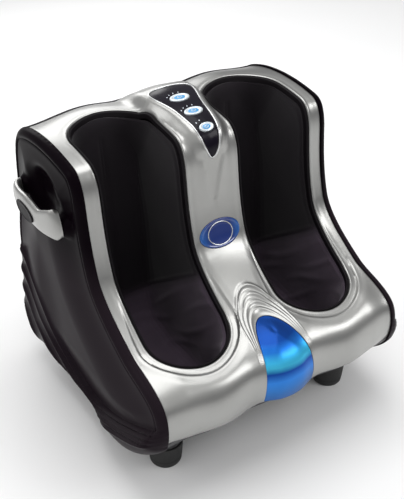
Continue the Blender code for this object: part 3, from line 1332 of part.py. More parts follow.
def make_rear_fittings(black, steel, grey):
    """The power inlet, the rocker switch, the fuse holder and the transformer."""
    face = DEPTH / 2
    height = REAR_FITTINGS_SHARE * BODY_HEIGHT
    out = face + FIT + INLET_FLANGE_THICK

    low = (INLET_X - INLET_HALF_WIDTH, face - INLET_DEPTH, height - INLET_HALF_HEIGHT)
    high = (INLET_X + INLET_HALF_WIDTH, out - INLET_FLANGE_THICK / 2, height + INLET_HALF_HEIGHT)
    inlet = box("power_inlet", low, high, black)
    grown = (low[0] - INLET_FLANGE, face + FIT, low[2] - INLET_FLANGE)
    join(inlet, box("flange", grown, (high[0] + INLET_FLANGE, out, high[2] + INLET_FLANGE)))
    inner_low = (low[0] + INLET_WALL, low[1] + INLET_WALL, low[2] + INLET_WALL)
    cut(inlet, box("socket", inner_low, (high[0] - INLET_WALL, out + OVERRUN, high[2] - INLET_WALL)))
    for x in (-PIN_PITCH, 0.0, PIN_PITCH):
        pin_low = (INLET_X + x - PIN_THICK / 2, low[1] + INLET_WALL / 2, height - PIN_HEIGHT / 2)
        join(inlet, box("pin", pin_low, (pin_low[0] + PIN_THICK, inner_low[1] + PIN_LENGTH, height + PIN_HEIGHT / 2)))

    frame_x, frame_z = ROCKER_HALF_WIDTH + ROCKER_FRAME, ROCKER_HALF_HEIGHT + ROCKER_FRAME
    low = (SWITCH_X - frame_x, face - ROCKER_FRAME_DEPTH, height - frame_z)
    high = (SWITCH_X + frame_x, out - INLET_FLANGE_THICK / 2, height + frame_z)
    frame = box("switch_frame", low, high, black)
    lip = INLET_FLANGE / 2
    join(frame, box("flange", (low[0] - lip, face + FIT, low[2] - lip), (high[0] + lip, out, high[2] + lip)))
    gap_x, gap_z = ROCKER_HALF_WIDTH + RUN, ROCKER_HALF_HEIGHT + 2 * RUN
    cut(frame, box("hollow", (SWITCH_X - gap_x, low[1] + ROCKER_FRAME, height - gap_z),
                   (SWITCH_X + gap_x, out + OVERRUN, height + gap_z)))
    half_z = ROCKER_HALF_HEIGHT
    outline = [(out + ROCKER_RISE, height - half_z), (out + ROCKER_RISE / 3, height), (out + ROCKER_RISE, height + half_z),
               (out - ROCKER_DEPTH / 2, height + half_z), (out - ROCKER_DEPTH, height), (out - ROCKER_DEPTH / 2, height - half_z)]
    rocker = plate_yz("switch_rocker", outline, SWITCH_X - ROCKER_HALF_WIDTH, SWITCH_X + ROCKER_HALF_WIDTH, black)
    carry(pivot("rocker_axis", (SWITCH_X, out - ROCKER_DEPTH / 2, height)), rocker)

    start = (FUSE_X, face - FUSE_DEPTH, height)
    profile = [(0.0, 0.0), (0.0, FUSE_RADIUS), (FUSE_DEPTH + FIT, FUSE_RADIUS), (FUSE_DEPTH + FIT, FUSE_RADIUS * 1.4),
               (FUSE_DEPTH + FUSE_PROUD, FUSE_RADIUS * 1.3), (FUSE_DEPTH + FUSE_PROUD, 0.0)]
    turned("fuse_holder", profile, start, (0, 1, 0), black, steps=16)

    base = GROUND_GAP + TRAY_WALL + TRAY_RIB_HEIGHT + CHASSIS_THICK + 2 * FIT
    width, depth, tall = TRANSFORMER_SIZE
    rear = CHASSIS_REAR_SHARE * DEPTH - FIT
    core = box("transformer", (TRANSFORMER_X - width / 2, rear - depth, base),
               (TRANSFORMER_X + width / 2, rear, base + tall), grey)
    return core


def build():
    for old in list(bpy.data.objects):
        bpy.data.objects.remove(old)
    silver = finish("silver_paint", (0.62, 0.61, 0.60), 0.32, 0.6)
    gloss = finish("black_gloss", (0.02, 0.018, 0.02), 0.16)
    fabric = finish("black_fabric", (0.02, 0.018, 0.022), 0.9)
    rubber = finish("black_rubber", (0.02, 0.02, 0.02), 0.7)
    blue = finish("blue_lens", (0.02, 0.14, 0.55), 0.15)
    badge_blue = finish("badge_enamel", (0.01, 0.05, 0.30), 0.2)
    button_silver = finish("button_silver", (0.75, 0.78, 0.82), 0.25, 0.3)
    steel = finish("zinc_steel", (0.55, 0.56, 0.58), 0.4, 0.9)
    brass = finish("bronze", (0.60, 0.42, 0.18), 0.4, 0.9)
    grey = finish("cast_zinc", (0.45, 0.46, 0.48), 0.5, 0.7)
    plastic = finish("white_nylon", (0.75, 0.75, 0.72), 0.5)
    green = finish("board_green", (0.02, 0.22, 0.08), 0.5)

    cover = make_front_cover(silver)
    _, _, buttons = make_controls(gloss, button_silver, green)
    axis = button_axis()
    for button in buttons:
        s = PANEL_START + BUTTON_SHARES[button.name][0] * PANEL_LENGTH
        carry(pivot(f"{button.name}_axis", on_cover(0.0, s) - axis * COVER_WALL), button)
    make_lens_and_badge(cover, blue, badge_blue)
    make_opening_rings(gloss)
    make_liners(fabric)
    make_side_panels(gloss)
    make_handles(silver, gloss)
    make_rear_cover(gloss)
    make_tray(gloss)
    make_feet(rubber, steel)
    make_chassis(steel)
    wheel = make_drive(steel, brass, grey, plastic)
    bodies = make_shafts(steel, plastic, plastic)
    for name, shares in (("upper", UPPER_SHAFT_SHARES), ("lower", LOWER_SHAFT_SHARES)):
        axis_empty = pivot(f"{name}_shaft_axis", (0.0, shares[0] * DEPTH, shares[1] * BODY_HEIGHT))
        pieces = bodies[name] + ((wheel,) if name == "lower" else ())
        carry(axis_empty, *pieces)
    make_belt(rubber)
    make_paddles(plastic)
    make_foot_beds(plastic)
    make_rear_fittings(gloss, steel, grey)


build()
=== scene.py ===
from math import pi, radians

import bpy
import numpy as np
from mathutils import Matrix, Vector
from mathutils.geometry import delaunay_2d_cdt
from mathutils.kdtree import KDTree


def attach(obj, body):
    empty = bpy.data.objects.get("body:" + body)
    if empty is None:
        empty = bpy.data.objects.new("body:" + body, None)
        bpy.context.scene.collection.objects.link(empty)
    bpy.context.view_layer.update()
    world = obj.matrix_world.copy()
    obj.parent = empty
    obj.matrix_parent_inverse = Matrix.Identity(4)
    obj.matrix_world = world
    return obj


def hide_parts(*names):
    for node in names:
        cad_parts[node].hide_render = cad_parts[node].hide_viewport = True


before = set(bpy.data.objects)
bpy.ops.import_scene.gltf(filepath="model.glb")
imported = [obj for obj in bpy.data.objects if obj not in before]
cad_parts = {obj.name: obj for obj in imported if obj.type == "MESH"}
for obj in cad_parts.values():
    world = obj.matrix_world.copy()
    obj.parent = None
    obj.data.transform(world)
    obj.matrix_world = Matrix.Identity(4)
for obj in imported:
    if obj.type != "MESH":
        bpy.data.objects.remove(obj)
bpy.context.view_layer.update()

MM = 0.001
SIDES = (("left", -1), ("right", 1))

# Sizes shared with the solids
SEAM_HALF = 200 * MM
DEPTH = 438 * MM
BODY_HEIGHT = 454 * MM
GROUND_GAP = 42 * MM
WELL_CENTRE = 111 * MM
WELL_HALF = 66 * MM
REAR_LEDGE = 45 * MM
TOE_LEDGE = 96 * MM
CONSOLE_LENGTH = 275 * MM
PANEL_START = 63 * MM
PANEL_LENGTH = 139 * MM
PANEL_HALF = 34 * MM
LENS_LENGTH = 128 * MM
LENS_HALF = 43 * MM
BADGE_PLACE = 273 * MM
BADGE_HALF = (35 * MM, 23 * MM)
PANEL_FACE = 200.4 * MM
PANEL_RIM = 12 * MM
PANEL_BULGE = 13 * MM
RIM_PROUD = 2.4 * MM
SKIRT_RISE = 22 * MM
FOOT_PLACES = (("front", 158 * MM, -0.290 * DEPTH), ("rear", 150 * MM, 0.330 * DEPTH))

# Form of the cover's face over its side outline
CONSOLE_HEIGHT, CONSOLE_LEVEL, CONSOLE_SLOPE = 20 * MM, 4 * MM, 17 * MM
CROWN, CROWN_SLOPE = 5 * MM, 40 * MM
TOE_FADE, TOE_FADE_RUN = 190 * MM, 150 * MM
WELL_STEPS = ((3.4 * MM, 11 * MM, 3.2 * MM), (1.6 * MM, 16 * MM, 12 * MM))    # drop, distance, slope
MOUTH_DROP, MOUTH_SLOPE = 1.2 * MM, 14 * MM
DENT, DENT_HALF, DENT_LEAST = 4.6 * MM, 22 * MM, 1 * MM
DENT_START, DENT_ONSET, DENT_NARROWS, DENT_TAPER = 185 * MM, 30 * MM, 195 * MM, 80 * MM
DENT_END, DENT_FADE = 290 * MM, 90 * MM
REAR_LOBE, REAR_LOBE_SLOPE, REAR_LOBE_RUN = 9 * MM, 88 * MM, 110 * MM
TOE_LOBE, NOSE_LOBE, TOE_LOBE_SLOPE, TOE_LOBE_RUN = 8 * MM, 9 * MM, 62 * MM, 130 * MM

# Outlines in the side view, in shares of the depth and the height
COVER_OUTLINE = (
    (0.406, 0.960), (0.297, 1.009), (0.137, 1.004), (0.046, 0.987), (0.014, 0.981), (-0.007, 0.947),
    (-0.014, 0.886), (-0.022, 0.813), (-0.030, 0.738), (-0.062, 0.652), (-0.087, 0.584), (-0.183, 0.529),
    (-0.274, 0.484), (-0.324, 0.463), (-0.402, 0.461), (-0.450, 0.419), (-0.480, 0.392), (-0.486, 0.330),
    (-0.470, 0.282),
)
REAR_OUTLINE = (
    (0.452, 0.105), (0.488, 0.140), (0.5, 0.190), (0.5, 0.260), (0.5, 0.340), (0.5, 0.420),
    (0.5, 0.500), (0.5, 0.600), (0.492, 0.680), (0.482, 0.770), (0.470, 0.880), (0.450, 0.945),
    (0.407, 0.958),
)
TOE_UNDER = ((-0.470, 0.995), (-0.468, 0.88), (-0.450, 0.76), (-0.400, 0.50), (-0.355, 0.28),
             (-0.290, 0.02), (-0.180, 0.0))
HEEL_UNDER = ((0.360, 0.0), (0.420, 0.0), (0.438, 0.005), (0.4495, 0.035))
WELL_FLOOR = (
    (0.286, 0.955), (0.272, 0.840), (0.236, 0.660), (0.226, 0.510), (0.219, 0.400), (0.219, 0.270),
    (0.160, 0.222), (0.110, 0.181), (0.040, 0.178), (-0.050, 0.178), (-0.160, 0.180), (-0.300, 0.195),
    (-0.372, 0.255),
)

# The console's height along its length, the panel's outline, and the buttons' places and half sizes
CONSOLE_RISE = (
    (0.0, 0.12), (0.07, 0.30), (0.12, 0.62), (0.20, 0.86), (0.30, 1.05), (0.42, 0.74), (0.54, 0.60),
    (0.66, 0.40), (0.78, 0.12), (1.0, 0.0),
)
PANEL_OUTLINE = (
    (0.0, 0.0), (0.50, 0.0), (1.0, 0.02), (1.0, 0.12), (1.0, 0.22), (0.74, 0.34), (0.65, 0.48),
    (0.58, 0.62), (0.48, 0.84), (0.15, 0.968), (0.10, 0.99), (0.04, 1.0), (0.0, 1.0),
)
BUTTONS = {"mode_button": (0.280, 16 * MM, 8.6 * MM), "speed_button": (0.536, 15 * MM, 8.0 * MM),
           "power_button": (0.750, 11.6 * MM, 4.5 * MM)}


# Curves and easing

SHORT_STRETCH = 3 * MM


def curve(points, steps=30):
    """Points along a chain of cubic curves: an end, then two handles and an end for each."""
    points = np.array(points, float)
    parts = [points[:1]]
    for first in range(0, len(points) - 1, 3):
        a, b, c, d = points[first:first + 4]
        t = np.linspace(0, 1, steps + 1)[1:, None]
        u = 1 - t
        parts.append(u**3 * a + 3 * u * u * t * b + 3 * u * t * t * c + t**3 * d)
    return np.vstack(parts)


class Line:
    """A curve in the side view, measured along its length."""

    def __init__(self, points):
        self.points = np.array(points, float)
        steps = np.hypot(*np.diff(self.points, axis=0).T)
        self.marks = np.concatenate([[0.0], np.cumsum(steps)])
        self.length = self.marks[-1]

    def at(self, s):
        """Points at distances along the line, which goes straight on past its ends."""
        inner = np.stack([np.interp(s, self.marks, self.points[:, k]) for k in (0, 1)], -1)
        before = np.minimum(s, 0.0)[..., None] * self.run(0 * s)
        after = np.maximum(s - self.length, 0.0)[..., None] * self.run(0 * s + self.length)
        return inner + before + after

    def run(self, s):
        """The line's direction, taken over a short stretch."""
        low = np.clip(s - SHORT_STRETCH, 0, self.length)
        high = np.clip(s + SHORT_STRETCH, 0, self.length)
        step = np.stack([np.interp(high, self.marks, self.points[:, k])
                         - np.interp(low, self.marks, self.points[:, k]) for k in (0, 1)], -1)
        return step / np.linalg.norm(step, axis=-1, keepdims=True)

    def outward(self, s):
        run = self.run(s)
        return np.stack([run[..., 1], -run[..., 0]], -1)


def in_metres(points, low=0.0, height=BODY_HEIGHT):
    """A side view drawing in metres, from shares of the depth and of a height."""
    return [(y * DEPTH, low + z * height) for y, z in points]


def ease(share):
    """Goes from 0 to 1 with a soft start and a soft end."""
    share = np.clip(share, 0.0, 1.0)
    return share * share * (3 - 2 * share)


def plateau(distance, half, edge):
    """1 up to a distance, then a soft slope down to 0."""
    return 1 - ease((np.abs(distance) - half) / edge)


COVER = Line(curve(in_metres(COVER_OUTLINE)))
REAR = Line(curve(in_metres(REAR_OUTLINE)))
FLOOR = Line(curve(in_metres(WELL_FLOOR)))
TOE_Z = COVER.points[-1][1]
UNDER = Line(np.vstack([curve(in_metres(TOE_UNDER, GROUND_GAP, TOE_Z - GROUND_GAP)),
                        curve(in_metres(HEEL_UNDER, GROUND_GAP, TOE_Z - GROUND_GAP))]))
WELL_START, WELL_END = REAR_LEDGE, COVER.length - TOE_LEDGE
WELL_FIRST, WELL_LAST = WELL_START + WELL_HALF, WELL_END - WELL_HALF


# The cover's face, over the flat drawing of the cover

def panel_loop(steps=30):
    """The control panel's outline."""
    half = curve(PANEL_OUTLINE, steps) * (PANEL_HALF, PANEL_LENGTH) + (0, PANEL_START)
    return np.vstack([half, half[-2:0:-1] * (-1, 1)])


PANEL_LOOP = panel_loop(steps=6)
RISE = curve(CONSOLE_RISE)


def well_distance(x, s):
    """Distance outside a well's mouth; negative inside it."""
    beyond = np.maximum(np.maximum(WELL_FIRST - s, s - WELL_LAST), 0)
    return np.hypot(np.abs(x) - WELL_CENTRE, beyond) - WELL_HALF


def rear_lobe(x):
    """How much higher the rear edge is behind the wells and behind the console."""
    behind_wells = plateau(np.abs(x) - WELL_CENTRE, 0, REAR_LOBE_SLOPE)
    return REAR_LOBE * (behind_wells + 0.8 * plateau(x, 0, WELL_HALF))


def toe_lobe(x):
    """How far the toe stands forward before the wells and at the nose."""
    before_wells = plateau(np.abs(x) - WELL_CENTRE, 0, TOE_LOBE_SLOPE)
    return TOE_LOBE * before_wells + NOSE_LOBE * plateau(x, 0, TOE_LOBE_SLOPE)


def relief(x, s):
    """Height of the cover's face over its side outline."""
    rise = np.interp(s / CONSOLE_LENGTH, RISE[:, 0], RISE[:, 1]) * CONSOLE_HEIGHT
    by_panel = np.clip(s, PANEL_START + PANEL_LENGTH / 10, PANEL_START + PANEL_LENGTH)
    spots = np.stack([x, by_panel], -1)
    away = np.where(within(spots, [PANEL_LOOP]), 0, from_edge(spots, [PANEL_LOOP]))
    rise = rise * plateau(away, CONSOLE_LEVEL, CONSOLE_SLOPE)
    rise = rise + CROWN * ease((SEAM_HALF - np.abs(x)) / CROWN_SLOPE) * ease(s / CONSOLE_LENGTH)
    toe = ease((s - WELL_END + TOE_FADE) / TOE_FADE_RUN)
    gap = well_distance(x, s)
    for drop, distance, slope in WELL_STEPS:
        rise = rise - drop * toe * (1 - ease((gap - distance * toe) / slope))
    rise = rise - MOUTH_DROP * (1 - ease(gap / MOUTH_SLOPE))
    half = DENT_HALF * np.clip(1 - (s - DENT_NARROWS) / DENT_TAPER, 0, 1) + DENT_LEAST
    dent = ease((s - DENT_START) / DENT_ONSET) * np.clip((DENT_END - s) / DENT_FADE, 0, 1)
    return rise - DENT * dent * (1 - ease((np.abs(x) - 0.55 * half) / (0.45 * half)))


def on_cover(x, s, above=0.0):
    """Points over the front cover's face."""
    yz = COVER.at(s) + COVER.outward(s) * (relief(x, s) + above)[..., None]
    y = yz[..., 0] - toe_lobe(x) * ease((s - COVER.length + TOE_LOBE_RUN) / TOE_LOBE_RUN)
    z = yz[..., 1] + rear_lobe(x) * (1 - ease(s / REAR_LOBE_RUN))
    return np.stack([x, y, z], -1)


# Flat outlines, as arrays of corners

def stadium(grow, spacing, side=1):
    """A well's outline in the flat drawing, grown by a distance."""
    radius = WELL_HALF + grow
    straight = max(2, round((WELL_LAST - WELL_FIRST) / spacing))
    arc = max(4, round(pi * radius / spacing))
    down = np.stack([np.full(straight, radius), np.linspace(WELL_FIRST, WELL_LAST, straight, False)], -1)
    turn = np.linspace(0, pi, arc, False)
    toe = np.stack([radius * np.cos(turn), WELL_LAST + radius * np.sin(turn)], -1)
    up = np.stack([np.full(straight, -radius), np.linspace(WELL_LAST, WELL_FIRST, straight, False)], -1)
    rear = np.stack([-radius * np.cos(turn), WELL_FIRST - radius * np.sin(turn)], -1)
    return np.vstack([down, toe, up, rear]) + (side * WELL_CENTRE, 0)


def oval(centre, half_x, half_y, spacing):
    """An oval of evenly turned corners."""
    steps = max(12, round(2 * pi * max(half_x, half_y) / spacing))
    turn = np.linspace(0, 2 * pi, steps, False)
    return np.stack([centre[0] + half_x * np.cos(turn), centre[1] + half_y * np.sin(turn)], -1)


def rectangle(low, high, spacing):
    """A rectangle between two corners, with points along its sides."""
    corners = np.array([low, (high[0], low[1]), high, (low[0], high[1])], float)
    return even(corners, spacing, True)


def between_seams(length, spacing, inset=0.0):
    """The outline of a cover of a length between the two seams, inset by millimetres."""
    low, high = (-SEAM_HALF + inset * MM, inset * MM), (SEAM_HALF - inset * MM, length - inset * MM)
    return rectangle(low, high, spacing)


def even(points, spacing, keep_corners=False):
    """A closed outline with evenly spaced points."""
    points = np.asarray(points, float)
    after = np.roll(points, -1, 0)
    if keep_corners:
        parts = []
        for a, b in zip(points, after):
            count = max(1, round(np.hypot(*(b - a)) / spacing))
            parts.append(a + (b - a) * np.linspace(0, 1, count, False)[:, None])
        return np.vstack(parts)
    marks = np.concatenate([[0], np.cumsum(np.hypot(*(after - points).T))])
    closed = np.vstack([points, points[:1]])
    at = np.linspace(0, marks[-1], max(8, round(marks[-1] / spacing)), False)
    return np.stack([np.interp(at, marks, closed[:, k]) for k in (0, 1)], -1)


def moved(loop, by):
    """An outline moved outwards by a distance; it runs anticlockwise."""
    run = np.roll(loop, -1, 0) - np.roll(loop, 1, 0)
    run /= np.linalg.norm(run, axis=1)[:, None]
    return loop + np.stack([run[:, 1], -run[:, 0]], -1) * by


def within(points, loops):
    """Which points lie inside an odd number of outlines."""
    hit = np.zeros(len(points), bool)
    for loop in loops:
        for (ax, ay), (bx, by) in zip(loop, np.roll(loop, -1, 0)):
            if ay != by:
                crosses = (ay > points[:, 1]) != (by > points[:, 1])
                hit ^= crosses & (points[:, 0] < ax + (bx - ax) * (points[:, 1] - ay) / (by - ay))
    return hit


def from_edge(points, loops):
    """Distance from points to the nearest of some outlines."""
    nearest = np.full(len(points), np.inf)
    for loop in loops:
        for a, b in zip(loop, np.roll(loop, -1, 0)):
            run = b - a
            share = np.clip(((points - a) @ run) / (run @ run), 0, 1)
            nearest = np.minimum(nearest, np.linalg.norm(points - a - share[:, None] * run, axis=1))
    return nearest


def rounded(distance, radius):
    """How far a face drops over a rounded edge."""
    away = 1 - np.clip(distance / radius, 0, 1)
    return radius * (1 - np.sqrt(1 - away**2))


# Modelling

MERGE_DISTANCE = 0.02 * MM
ROW_GAP = 0.45 * MM         # how near a row's points may come to the points already there
GRID_GAP = 0.62             # the same for the filling grid, in shares of its spacing
TINY = 1e-20


def deselect():
    bpy.ops.object.select_all(action="DESELECT")


def pick(piece):
    deselect()
    piece.select_set(True)
    bpy.context.view_layer.objects.active = piece


def in_edit_mode(piece, *steps):
    """Runs edit mode operators on the whole of a piece."""
    pick(piece)
    bpy.ops.object.mode_set(mode="EDIT")
    bpy.ops.mesh.select_all(action="SELECT")
    for step in steps:
        step()
    bpy.ops.object.mode_set(mode="OBJECT")
    return piece


def face_out(piece):
    return in_edit_mode(piece, lambda: bpy.ops.mesh.normals_make_consistent(inside=False))


def merge_and_face_out(piece):
    return in_edit_mode(piece, lambda: bpy.ops.mesh.remove_doubles(threshold=MERGE_DISTANCE),
                        lambda: bpy.ops.mesh.normals_make_consistent(inside=False))


def laid(name, columns, rows, place):
    """A grid laid over a surface: place turns shares across and along into points."""
    deselect()
    bpy.ops.mesh.primitive_grid_add(x_subdivisions=columns, y_subdivisions=rows, size=1)
    piece = bpy.context.object
    piece.name = piece.data.name = name
    flat = np.empty(len(piece.data.vertices) * 3, np.float32)
    piece.data.vertices.foreach_get("co", flat)
    shares = np.clip(flat.reshape(-1, 3).astype(float) + 0.5, 0, 1)
    points = place(shares[:, 0], shares[:, 1])
    piece.data.vertices.foreach_set("co", np.ascontiguousarray(points, np.float32).ravel())
    piece.data.update()
    return merge_and_face_out(piece)


def apply(piece, kind, **settings):
    """Adds a modifier, sets it and applies it."""
    pick(piece)
    modifier = piece.modifiers.new(kind.title(), kind)
    for key, value in settings.items():
        setattr(modifier, key, value)
    bpy.ops.object.modifier_apply(modifier=modifier.name)
    return piece


def joined(*pieces):
    """Makes one piece of several."""
    deselect()
    for piece in pieces:
        piece.select_set(True)
    bpy.context.view_layer.objects.active = pieces[0]
    bpy.ops.object.join()
    return pieces[0]


def mirrored(piece, name):
    """A copy of a piece on the other side of the centre plane."""
    copy = piece.copy()
    copy.data = piece.data.copy()
    copy.name = copy.data.name = name
    bpy.context.scene.collection.objects.link(copy)
    copy.data.transform(Matrix.Scale(-1, 4, (1, 0, 0)))
    return in_edit_mode(copy, lambda: bpy.ops.mesh.flip_normals())


def face_normals(points, triangles):
    """The direction of the face at each point."""
    a, b, c = (points[triangles[:, k]] for k in range(3))
    facing = np.cross(b - a, c - a)
    total = np.zeros_like(points)
    for k in range(3):
        np.add.at(total, triangles[:, k], facing)
    return total / np.maximum(np.linalg.norm(total, axis=1)[:, None], TINY)


def flat_mesh(loop, holes, rows, spacing):
    """A fine triangulation of a flat outline with holes: its points and its triangles."""
    points, edges = [], []
    for closed in (loop, *holes):
        first, count = len(points), len(closed)
        points += [tuple(p) for p in closed]
        edges += [(first + i, first + (i + 1) % count) for i in range(count)]
    low, high = loop.min(0), loop.max(0)
    columns, lines = (np.ceil((high - low) / spacing)).astype(int) + 1
    across, along = np.meshgrid(np.arange(columns), np.arange(lines))
    across = across + 0.25 * (-1.0)**along
    grid = np.stack([across.ravel(), along.ravel()], -1) * spacing + low
    for extra, gap in [(row, ROW_GAP) for row in rows] + [(grid, GRID_GAP * spacing)]:
        tree = KDTree(len(points))
        for i, p in enumerate(points):
            tree.insert((p[0], p[1], 0), i)
        tree.balance()
        extra = extra[within(extra, [loop, *holes])]
        points += [tuple(p) for p in extra if tree.find((p[0], p[1], 0))[2] > gap]
    made, _, faces, _, _, _ = delaunay_2d_cdt([Vector(p) for p in points], edges, [], 0, 1e-7)
    flat, triangles = np.array([p[:] for p in made]), np.array(faces)
    triangles = triangles[within(flat[triangles].mean(1), [loop, *holes])]
    used, triangles = np.unique(triangles, return_inverse=True)
    return flat[used], triangles.reshape(-1, 3)


def shell(name, flat, place, wall):
    """A closed wall behind a face laid over a triangulation; a negative wall goes the other way."""
    spots, triangles = flat
    outer = place(spots[:, 0], spots[:, 1])
    inner = outer - face_normals(outer, triangles) * wall
    count = len(spots)
    runs = np.vstack([triangles[:, [0, 1]], triangles[:, [1, 2]], triangles[:, [2, 0]]])
    known = set(map(tuple, runs.tolist()))
    rim = [(b, a, a + count, b + count) for a, b in known if (b, a) not in known]
    faces = triangles.tolist() + (triangles[:, ::-1] + count).tolist() + rim
    mesh = bpy.data.meshes.new(name)
    mesh.from_pydata(np.vstack([outer, inner]).tolist(), [], faces)
    piece = bpy.data.objects.new(name, mesh)
    bpy.context.scene.collection.objects.link(piece)
    return face_out(piece)


def swept(name, path, frames, profile):
    """A closed bar along a closed path: frames gives two directions at each of its points."""
    count, around = len(path), len(profile)

    def place(u, v):
        i = np.rint(u * count).astype(int) % count
        k = np.rint(v * around).astype(int) % around
        return path[i] + frames[0][i] * profile[k, :1] + frames[1][i] * profile[k, 1:]

    return laid(name, count, around, place)


def read_rows(rows, spot):
    """The two columns of a table of rows, read between its rows."""
    marks = np.arange(len(rows))
    return np.interp(spot, marks, rows[:, 0]), np.interp(spot, marks, rows[:, 1])


def turned(name, around, section, place, finer=1):
    """A piece of rings: place turns angles and a section's two columns into points."""
    steps = len(section) - 1

    def on_section(u, v):
        return place(2 * pi * u, *read_rows(section, v * steps))

    return laid(name, around, finer * steps, on_section)


def done(piece, material, body="body", replaces=(), angle=40):
    """Finishes a piece: shading, material, the body it rides and what it stands for."""
    pick(piece)
    bpy.ops.object.shade_smooth_by_angle(angle=radians(angle))
    piece.data.materials.clear()
    piece.data.materials.append(material)
    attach(piece, body)
    if replaces:
        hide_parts(*replaces)
    return piece


# Materials

class Value:
    """A number in a material, worked out by its nodes; it takes the usual signs of arithmetic."""

    def __init__(self, tree, socket):
        self.tree, self.socket = tree, socket

    def by(self, operation, *others):
        """This number after a Math node's operation."""
        node = self.tree.nodes.new("ShaderNodeMath")
        node.operation = operation
        for slot, part in zip(node.inputs, (self, *others)):
            if isinstance(part, Value):
                self.tree.links.new(part.socket, slot)
            else:
                slot.default_value = part
        return Value(self.tree, node.outputs[0])

    def __add__(self, other):
        return self.by("ADD", other)

    def __sub__(self, other):
        return self.by("SUBTRACT", other)

    def __mul__(self, other):
        return self.by("MULTIPLY", other)

    def __rsub__(self, other):
        return self.by("MULTIPLY", -1.0).by("ADD", other)

    __radd__ = __add__
    __rmul__ = __mul__


class Finish:
    """A material built from nodes on a piece's own coordinates."""

    def __init__(self, name, colour, roughness, metallic=0.0, **inputs):
        self.made = bpy.data.materials.new(name)
        self.made.use_nodes = True
        self.tree = self.made.node_tree
        self.shader = self.tree.nodes["Principled BSDF"]
        self.made.diffuse_color = (*colour, 1)
        self.colour = colour
        self.set("Base Color", (*colour, 1))
        self.set("Roughness", roughness)
        self.set("Metallic", metallic)
        for key, value in inputs.items():
            self.set(key.replace("_", " ").title(), value)
        self.place = self.node("ShaderNodeTexCoord", "Object")

    def set(self, name, value):
        """Fills or links a socket of the shader."""
        slot = self.shader.inputs[name]
        if isinstance(value, Value):
            self.tree.links.new(value.socket, slot)
        else:
            slot.default_value = value
        return self

    def node(self, kind, output, links=(), settings=()):
        """Adds a node, sets it, fills or links its sockets and gives one of its outputs."""
        node = self.tree.nodes.new(kind)
        for key, value in settings:
            setattr(node, key, value)
        for key, value in dict(links).items():
            slot = node.inputs[key]
            if isinstance(value, Value):
                self.tree.links.new(value.socket, slot)
            else:
                slot.default_value = value
        return Value(self.tree, node.outputs[output])

    def noise(self, scale, detail=2.0, stretch=None):
        """A cloudy pattern, drawn out along the axes where a stretch is given."""
        place = self.place
        if stretch:
            place = self.node("ShaderNodeMapping", "Vector", {"Vector": place, "Scale": stretch})
        links = {"Vector": place, "Scale": scale, "Detail": detail}
        return self.node("ShaderNodeTexNoise", "Fac", links)

    def along(self, axis):
        """How far along an axis a place is."""
        return self.node("ShaderNodeSeparateXYZ", axis, {"Vector": self.place})

    def ranged(self, value, low, high):
        """A share that is 0 where a value is low and 1 where it is high."""
        links = {"Value": value, "From Min": low, "From Max": high}
        return self.node("ShaderNodeMapRange", "Result", links)

    def between(self, share, low, high):
        """A number that goes from low to high as a share goes from 0 to 1."""
        return share * (high - low) + low

    def shades(self, share, *stops):
        """A colour from a row of (place, colour) stops."""
        node = self.tree.nodes.new("ShaderNodeValToRGB")
        self.tree.links.new(share.socket, node.inputs["Fac"])
        ramp = node.color_ramp
        while len(ramp.elements) < len(stops):
            ramp.elements.new(0.5)
        for element, (spot, colour) in zip(ramp.elements, stops):
            element.position = spot
            element.color = (*colour, 1)
        return Value(self.tree, node.outputs["Color"])

    def graded(self, value, ends, scale, swing, *stops, detail=2.0):
        """Colours the piece by where a value lies between two ends, with cloudy borders."""
        share = self.ranged(value, *ends) + self.noise(scale, detail) * swing - swing / 2
        return self.set("Base Color", self.shades(share, *stops))

    def bumpy(self, height, strength, distance):
        """Shades the surface as if it had a fine relief."""
        links = {"Height": height, "Strength": strength, "Distance": distance}
        return self.set("Normal", self.node("ShaderNodeBump", "Normal", links))

    def uneven(self, scale, rough, shade, stretch=None):
        """Varies roughness between two values, and the colour a little, over the piece."""
        cloud = self.noise(scale, 4.0, stretch)
        low = tuple(c * (1 - shade) for c in self.colour)
        high = tuple(min(1.0, c * (1 + shade)) for c in self.colour)
        self.set("Base Color", self.shades(cloud, (0.3, low), (0.7, high)))
        return self.set("Roughness", self.between(cloud, *rough))


def silver_paint():
    """Satin metallic paint: fine flake under a clear coat."""
    paint = Finish("silver_paint", (0.34, 0.34, 0.325), 0.30, 0.90, coat_weight=0.25, coat_roughness=0.18)
    flake = paint.noise(5200.0, 1.0)
    cloud = paint.noise(14.0, 3.0)
    paint.set("Roughness", paint.between(cloud, 0.27, 0.34) + flake * 0.05)
    share = flake * 0.6 + cloud * 0.4
    paint.set("Base Color", paint.shades(share, (0.30, (0.33, 0.33, 0.32)), (0.70, (0.43, 0.43, 0.417))))
    return paint.bumpy(flake, 0.035, 0.2 * MM).made


def black_gloss(name, colour, rough, shine, low=None):
    """Moulded gloss plastic with faint wear, and a painted reflection of the floor that makes it lighter
    lower down, where a low colour is given.
    """
    gloss = Finish(name, colour, 0.25)
    gloss.set("Specular IOR Level", shine)
    gloss.uneven(35.0, rough, 0.12)
    if low:
        # The low colour is a painted reflection of the pale floor, lighter on the lower part of the piece.
        gloss.graded(gloss.along("Z"), FLOOR_REFLECTION_HEIGHTS, 35.0, 0.12, (0.0, low), (1.0, colour), detail=4.0)
    return gloss.bumpy(gloss.noise(160.0, 2.0), 0.02, 0.4 * MM).made


